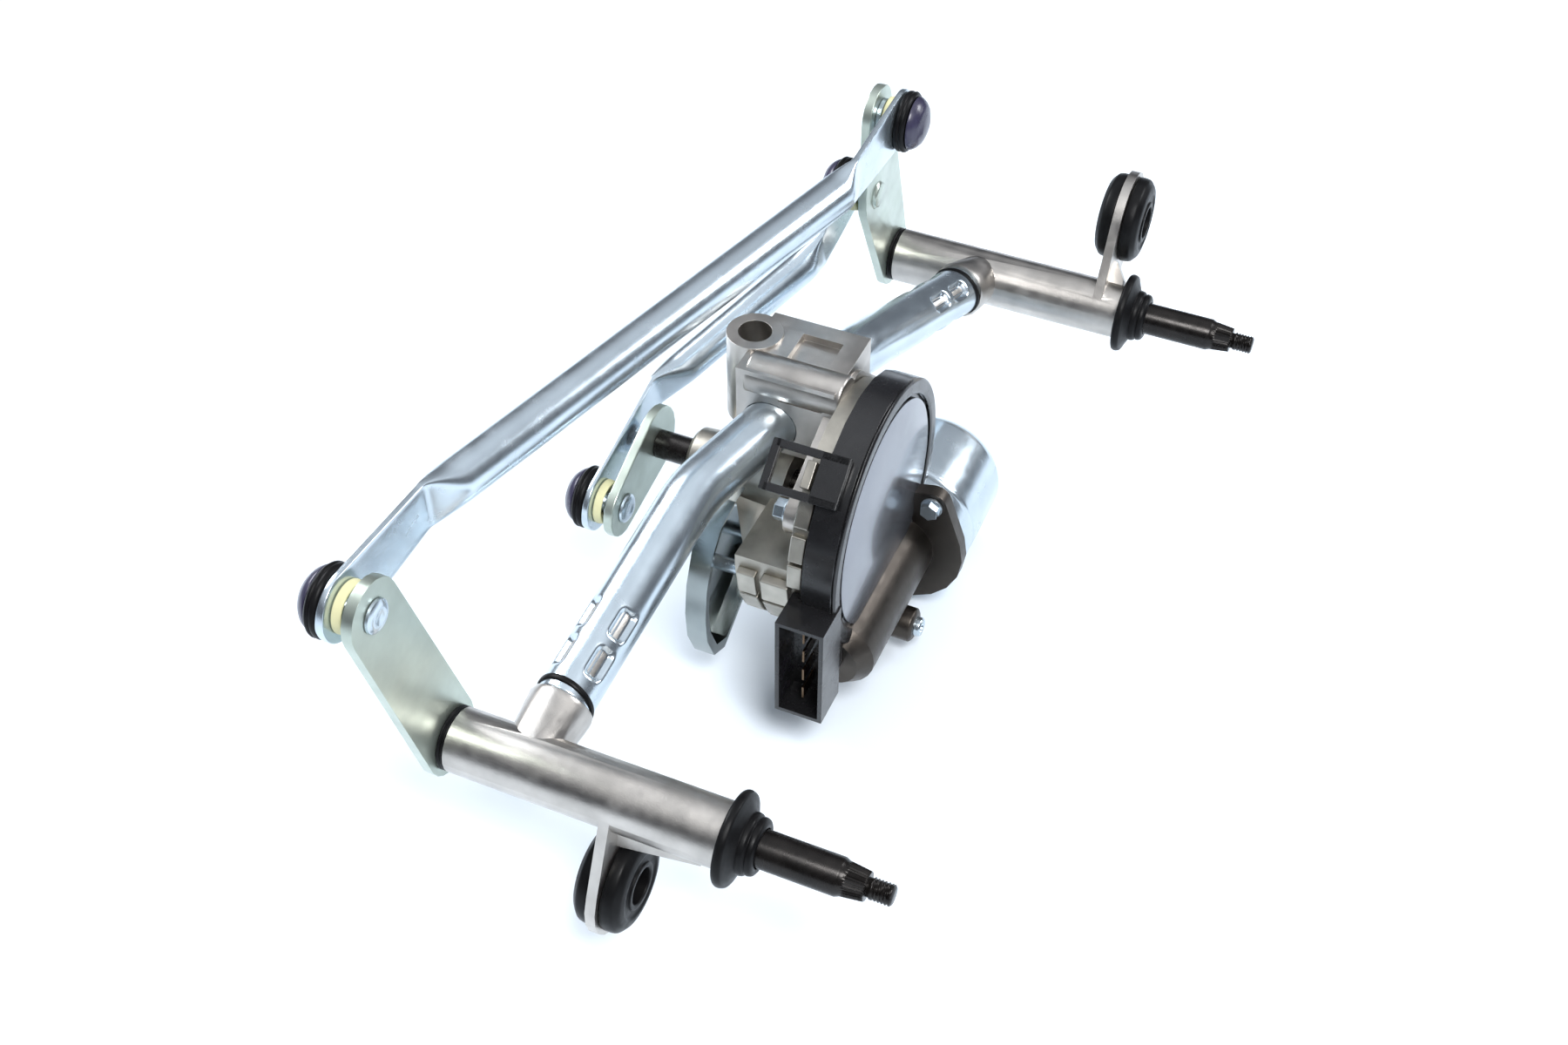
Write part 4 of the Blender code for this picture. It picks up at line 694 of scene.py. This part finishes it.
def bars(name, places, finish, width=0.0004):
    """Straight bars on the gear case as one mesh: each is eight corners round a place.

    A place is (angle in degrees round the shaft, inner and outer radius, half width, first and last u), and
    may end with a shift across the angle.

    A corner is the shaft plus its radius along the angle plus its half width across it.
    """
    rows = np.array(places, float)
    angle = np.radians(rows[:, 0])
    out = np.stack([np.cos(angle), np.sin(angle)], 1)
    across = np.stack([-out[:, 1], out[:, 0]], 1)
    shift = rows[:, 6] if rows.shape[1] > 6 else np.zeros(len(rows))
    corners = []
    for u in (rows[:, 4], rows[:, 5]):
        for radius, side in ((rows[:, 1], -1), (rows[:, 2], -1), (rows[:, 2], 1), (rows[:, 1], 1)):
            flat = np.array(SHAFT) + out * radius[:, None] + across * (side * rows[:, 3] + shift)[:, None]
            corners.append(np.stack([flat[:, 0], TIP_U - u, flat[:, 1]], 1) * MM)
    corners = np.stack(corners, 1)
    faces = np.array([(0, 1, 2, 3), (7, 6, 5, 4), (0, 4, 5, 1), (1, 5, 6, 2), (2, 6, 7, 3), (3, 7, 4, 0)])
    every = (faces[None] + np.arange(len(rows))[:, None, None] * 8).reshape(-1, 4)
    item = piece_of(name, corners, every)
    dress(item, finish)
    bevel = item.modifiers.new("edges", "BEVEL")
    bevel.width = width
    bevel.segments = 2
    bevel.harden_normals = True


class WIPER_OT_details(bpy.types.Operator):
    """Adds the cover's disc and clip, the gear case's pads and foot, and rings at the tube's mouths"""

    bl_idname = "wiper.details"
    bl_label = "Small details"

    def execute(self, context):
        disc = [(0, 98.0), (45.4, 98.0), (46.6, 97.7), (46.6, 97.0), (0, 97.0)]
        item = turned("cover_disc", disc, station(*SHAFT, 0), ALONG_U, 128)
        dress(item, "cover_disc")
        ring = [(48.6, 97.2), (48.6, 97.9), (50.0, 98.3), (54.0, 98.3), (54.9, 97.6), (54.9, 97.2)]
        item = turned("cover_rim", eased(ring, 0.3, True), station(*SHAFT, 0), ALONG_U, 128, True)
        dress(item, "black_plastic")
        clip = [(130.0, 55.2, 58.0, 1.6, 63.5, 93.0, shift) for shift in (-8.5, 8.5)]
        clip += [(130.0, 55.2, 58.0, 10.1, 62.0, 65.5, 0.0), (130.0, 55.2, 58.0, 10.1, 82.0, 93.5, 0.0)]
        bars("cover_clip", clip, "black_plastic")
        bars("clip_lug", [(130.0, 49.0, 57.6, 5.5, 77.2, 81.0)], "gear_case")
        pads = [(turn, 48.4, 52.0, 6.3, 55.6, 63.8) for turn in (190.0, 206.0, 222.0, 238.0)]
        pads += [(turn, 48.4, 52.8, 6.3, 66.0, 78.0) for turn in (190.0, 206.0, 222.0, 238.0)]
        pads += [(turn, 48.4, 52.4, 5.6, 77.0, 83.4) for turn in (146.0, 162.0, 176.0)]
        bars("case_pads", pads, "gear_case", 0.0007)
        barrel = [(0, 76.8), (8.0, 76.8), (8.6, 76.0), (8.6, 37.0), (8.0, 36.2), (0, 36.2)]
        item = turned("bracket_barrel", eased(barrel, 0.6), station(172.6, 51.8, 0), ALONG_U, 64)
        dress(item, "cast_aluminium")
        foot = [(0, 110.5), (5.8, 110.5), (7.4, 109.4), (7.6, 88.0), (0, 88.0)]
        item = turned("tunnel_foot", eased(foot, 0.6), station(*FOOT, 0), ALONG_U, 48)
        dress(item, "gear_case")
        head = [(0, 111.6), (2.2, 111.6), (2.4, 113.2), (3.6, 113.4), (4.2, 112.6), (4.2, 110.3),
                (0, 110.3)]
        item = turned("foot_screw", eased(head, 0.2), station(*FOOT, 0), ALONG_U, 36)
        dress(item, "zinc_plated_steel")
        for side in PIVOTS:
            spigot = station(*SPIGOTS[side])
            knee = station(*TUBE_KNEES[side])
            along = (knee - spigot) / np.linalg.norm(knee - spigot)
            band = [(10.7, 26.1), (12.1, 26.1), (12.3, 26.9), (12.1, 28.2), (11.2, 28.6), (10.7, 28.4)]
            item = turned(side + "_mouth_ring", eased(band, 0.3, True), spigot, along, 72, True)
            dress(item, "black_rubber")
        return {"FINISHED"}


class WIPER_OT_inner(bpy.types.Operator):
    """Gives the pieces inside their finishes"""

    bl_idname = "wiper.inner"
    bl_label = "Inner pieces"

    def execute(self, context):
        for name, node in frame["nodes"].items():
            for place in node.material_slots:
                place.material = FINISHES[NODE_SLOT[name]]
        return {"FINISHED"}


def lamp(name, where, aim, size, power, colour=(1.0, 1.0, 1.0)):
    """A square area lamp that faces a point."""
    light = bpy.data.lights.new(name, "AREA")
    light.size = size
    light.energy = power
    light.color = colour
    item = linked(name, light)
    turn = (Vector(aim) - Vector(where)).to_track_quat("-Z", "Y")
    item.matrix_world = Matrix.Translation(where) @ turn.to_matrix().to_4x4()


class WIPER_OT_stage(bpy.types.Operator):
    """Sets the pale floor, the soft lamps, the white surroundings and the camera"""

    bl_idname = "wiper.stage"
    bl_label = "Stage"

    def execute(self, context):
        scene = context.scene
        scene.view_settings.view_transform = "Standard"
        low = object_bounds()[0][2] - 0.0005
        mesh = bpy.data.meshes.new("floor")
        corners = np.array([[-6, -6], [6, -6], [6, 6], [-6, 6]], float)
        mesh.from_pydata([(x, y, low) for x, y in corners.tolist()], [], [(0, 1, 2, 3)])
        floor = linked("floor", mesh)
        paint = bpy.data.materials.new("floor_paint")
        paint.use_nodes = True
        tree = paint.node_tree
        shader = tree.nodes["Principled BSDF"]
        shader.inputs["Base Color"].default_value = (0.84, 0.91, 0.98, 1.0)
        shader.inputs["Roughness"].default_value = 0.9
        white = tree.nodes.new("ShaderNodeEmission")
        white.inputs["Color"].default_value = (1.0, 1.0, 1.0, 1.0)
        white.inputs["Strength"].default_value = 1.0
        away = tree.nodes.new("ShaderNodeVectorMath")
        away.operation = "DISTANCE"
        tree.links.new(texture_space(tree), away.inputs[0])
        away.inputs[1].default_value = (*FLOOR_CENTRE, low)
        seen = tree.nodes.new("ShaderNodeLightPath")
        share = tree.nodes.new("ShaderNodeMath")
        share.operation = "MULTIPLY"
        tree.links.new(spread(tree, away.outputs["Value"], *SHADOW_REACH, 0.0, 1.0), share.inputs[0])
        tree.links.new(seen.outputs["Is Camera Ray"], share.inputs[1])
        blend = tree.nodes.new("ShaderNodeMixShader")
        tree.links.new(share.outputs[0], blend.inputs[0])
        tree.links.new(shader.outputs[0], blend.inputs[1])
        tree.links.new(white.outputs[0], blend.inputs[2])
        tree.links.new(blend.outputs[0], tree.nodes["Material Output"].inputs["Surface"])
        mesh.materials.append(paint)
        floor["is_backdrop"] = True
        world = bpy.data.worlds.new("surroundings")
        scene.world = world
        world.use_nodes = True
        tree = world.node_tree
        ground = tree.nodes["Background"]
        split = tree.nodes.new("ShaderNodeSeparateXYZ")
        tree.links.new(texture_space(tree), split.inputs[0])
        ramp = tree.nodes.new("ShaderNodeValToRGB")
        ramp.color_ramp.elements[0].color = (0.06, 0.065, 0.08, 1.0)
        ramp.color_ramp.elements[0].position = 0.45
        ramp.color_ramp.elements[1].position = 0.95
        ramp.color_ramp.elements[1].color = (0.90, 0.94, 1.0, 1.0)
        tree.links.new(split.outputs[2], ramp.inputs[0])
        seen = tree.nodes.new("ShaderNodeLightPath")
        white = mixed(tree, seen.outputs["Is Camera Ray"], (0.5, 0.5, 0.5), (1.0, 1.0, 1.0))
        tree.links.new(ramp.outputs[0], white.node.inputs[6])
        tree.links.new(white, ground.inputs["Color"])
        ground.inputs["Strength"].default_value = 1.0
        lamp("key", (-0.5, -0.5, 1.3), LOOK_AT, 0.5, 19.0)
        lamp("side", (0.9, -0.7, 0.7), LOOK_AT, 0.4, 7.0, (0.95, 0.97, 1.0))
        lamp("back", (0.3, 1.0, 0.8), LOOK_AT, 0.6, 13.0, (0.95, 0.97, 1.0))
        lens = bpy.data.cameras.new("camera")
        lens.lens = 44.0
        lens.sensor_width = 36.0
        lens.sensor_fit = "HORIZONTAL"
        lens.clip_start = 0.01
        camera = linked("camera", lens)
        facing = Matrix((CAMERA_RIGHT, CAMERA_UP, CAMERA_BACK)).transposed().to_4x4()
        camera.matrix_world = Matrix.Translation(CAMERA_PLACE) @ facing
        scene.camera = camera
        return {"FINISHED"}


STEPS = (WIPER_OT_castings, WIPER_OT_stampings, WIPER_OT_frame_tube, WIPER_OT_spindles, WIPER_OT_rubber,
         WIPER_OT_ball_joints, WIPER_OT_links, WIPER_OT_motor, WIPER_OT_details, WIPER_OT_inner,
         WIPER_OT_stage)


class WIPER_PT_panel(bpy.types.Panel):
    """Lists the pieces and their sizes"""

    bl_idname = "WIPER_PT_panel"
    bl_label = "Wiper motor"
    bl_space_type = "VIEW_3D"
    bl_region_type = "UI"
    bl_category = "Wiper"

    def draw(self, context):
        for group in (context.scene.wiper_sizes, context.scene.wiper_colours):
            for name in group.bl_rna.properties.keys()[2:]:
                self.layout.prop(group, name)
        for step in STEPS:
            self.layout.operator(step.bl_idname)


CLASSES = (WiperSizes, WiperColours, *STEPS, WIPER_PT_panel)


def register():
    """Registers the classes and hangs the settings on the scene."""
    for one in CLASSES:
        bpy.utils.register_class(one)
    bpy.types.Scene.wiper_sizes = bpy.props.PointerProperty(type=WiperSizes)
    bpy.types.Scene.wiper_colours = bpy.props.PointerProperty(type=WiperColours)


def unregister():
    """Takes the settings and the classes away."""
    del bpy.types.Scene.wiper_colours
    del bpy.types.Scene.wiper_sizes
    for one in reversed(CLASSES):
        bpy.utils.unregister_class(one)


def main():
    """Builds every piece in order."""
    register()
    prepare_finishes(bpy.context.scene.wiper_colours)
    for step in STEPS:
        group, name = step.bl_idname.split(".")
        getattr(getattr(bpy.ops, group), name)()


if __name__ == "__main__":
    main()
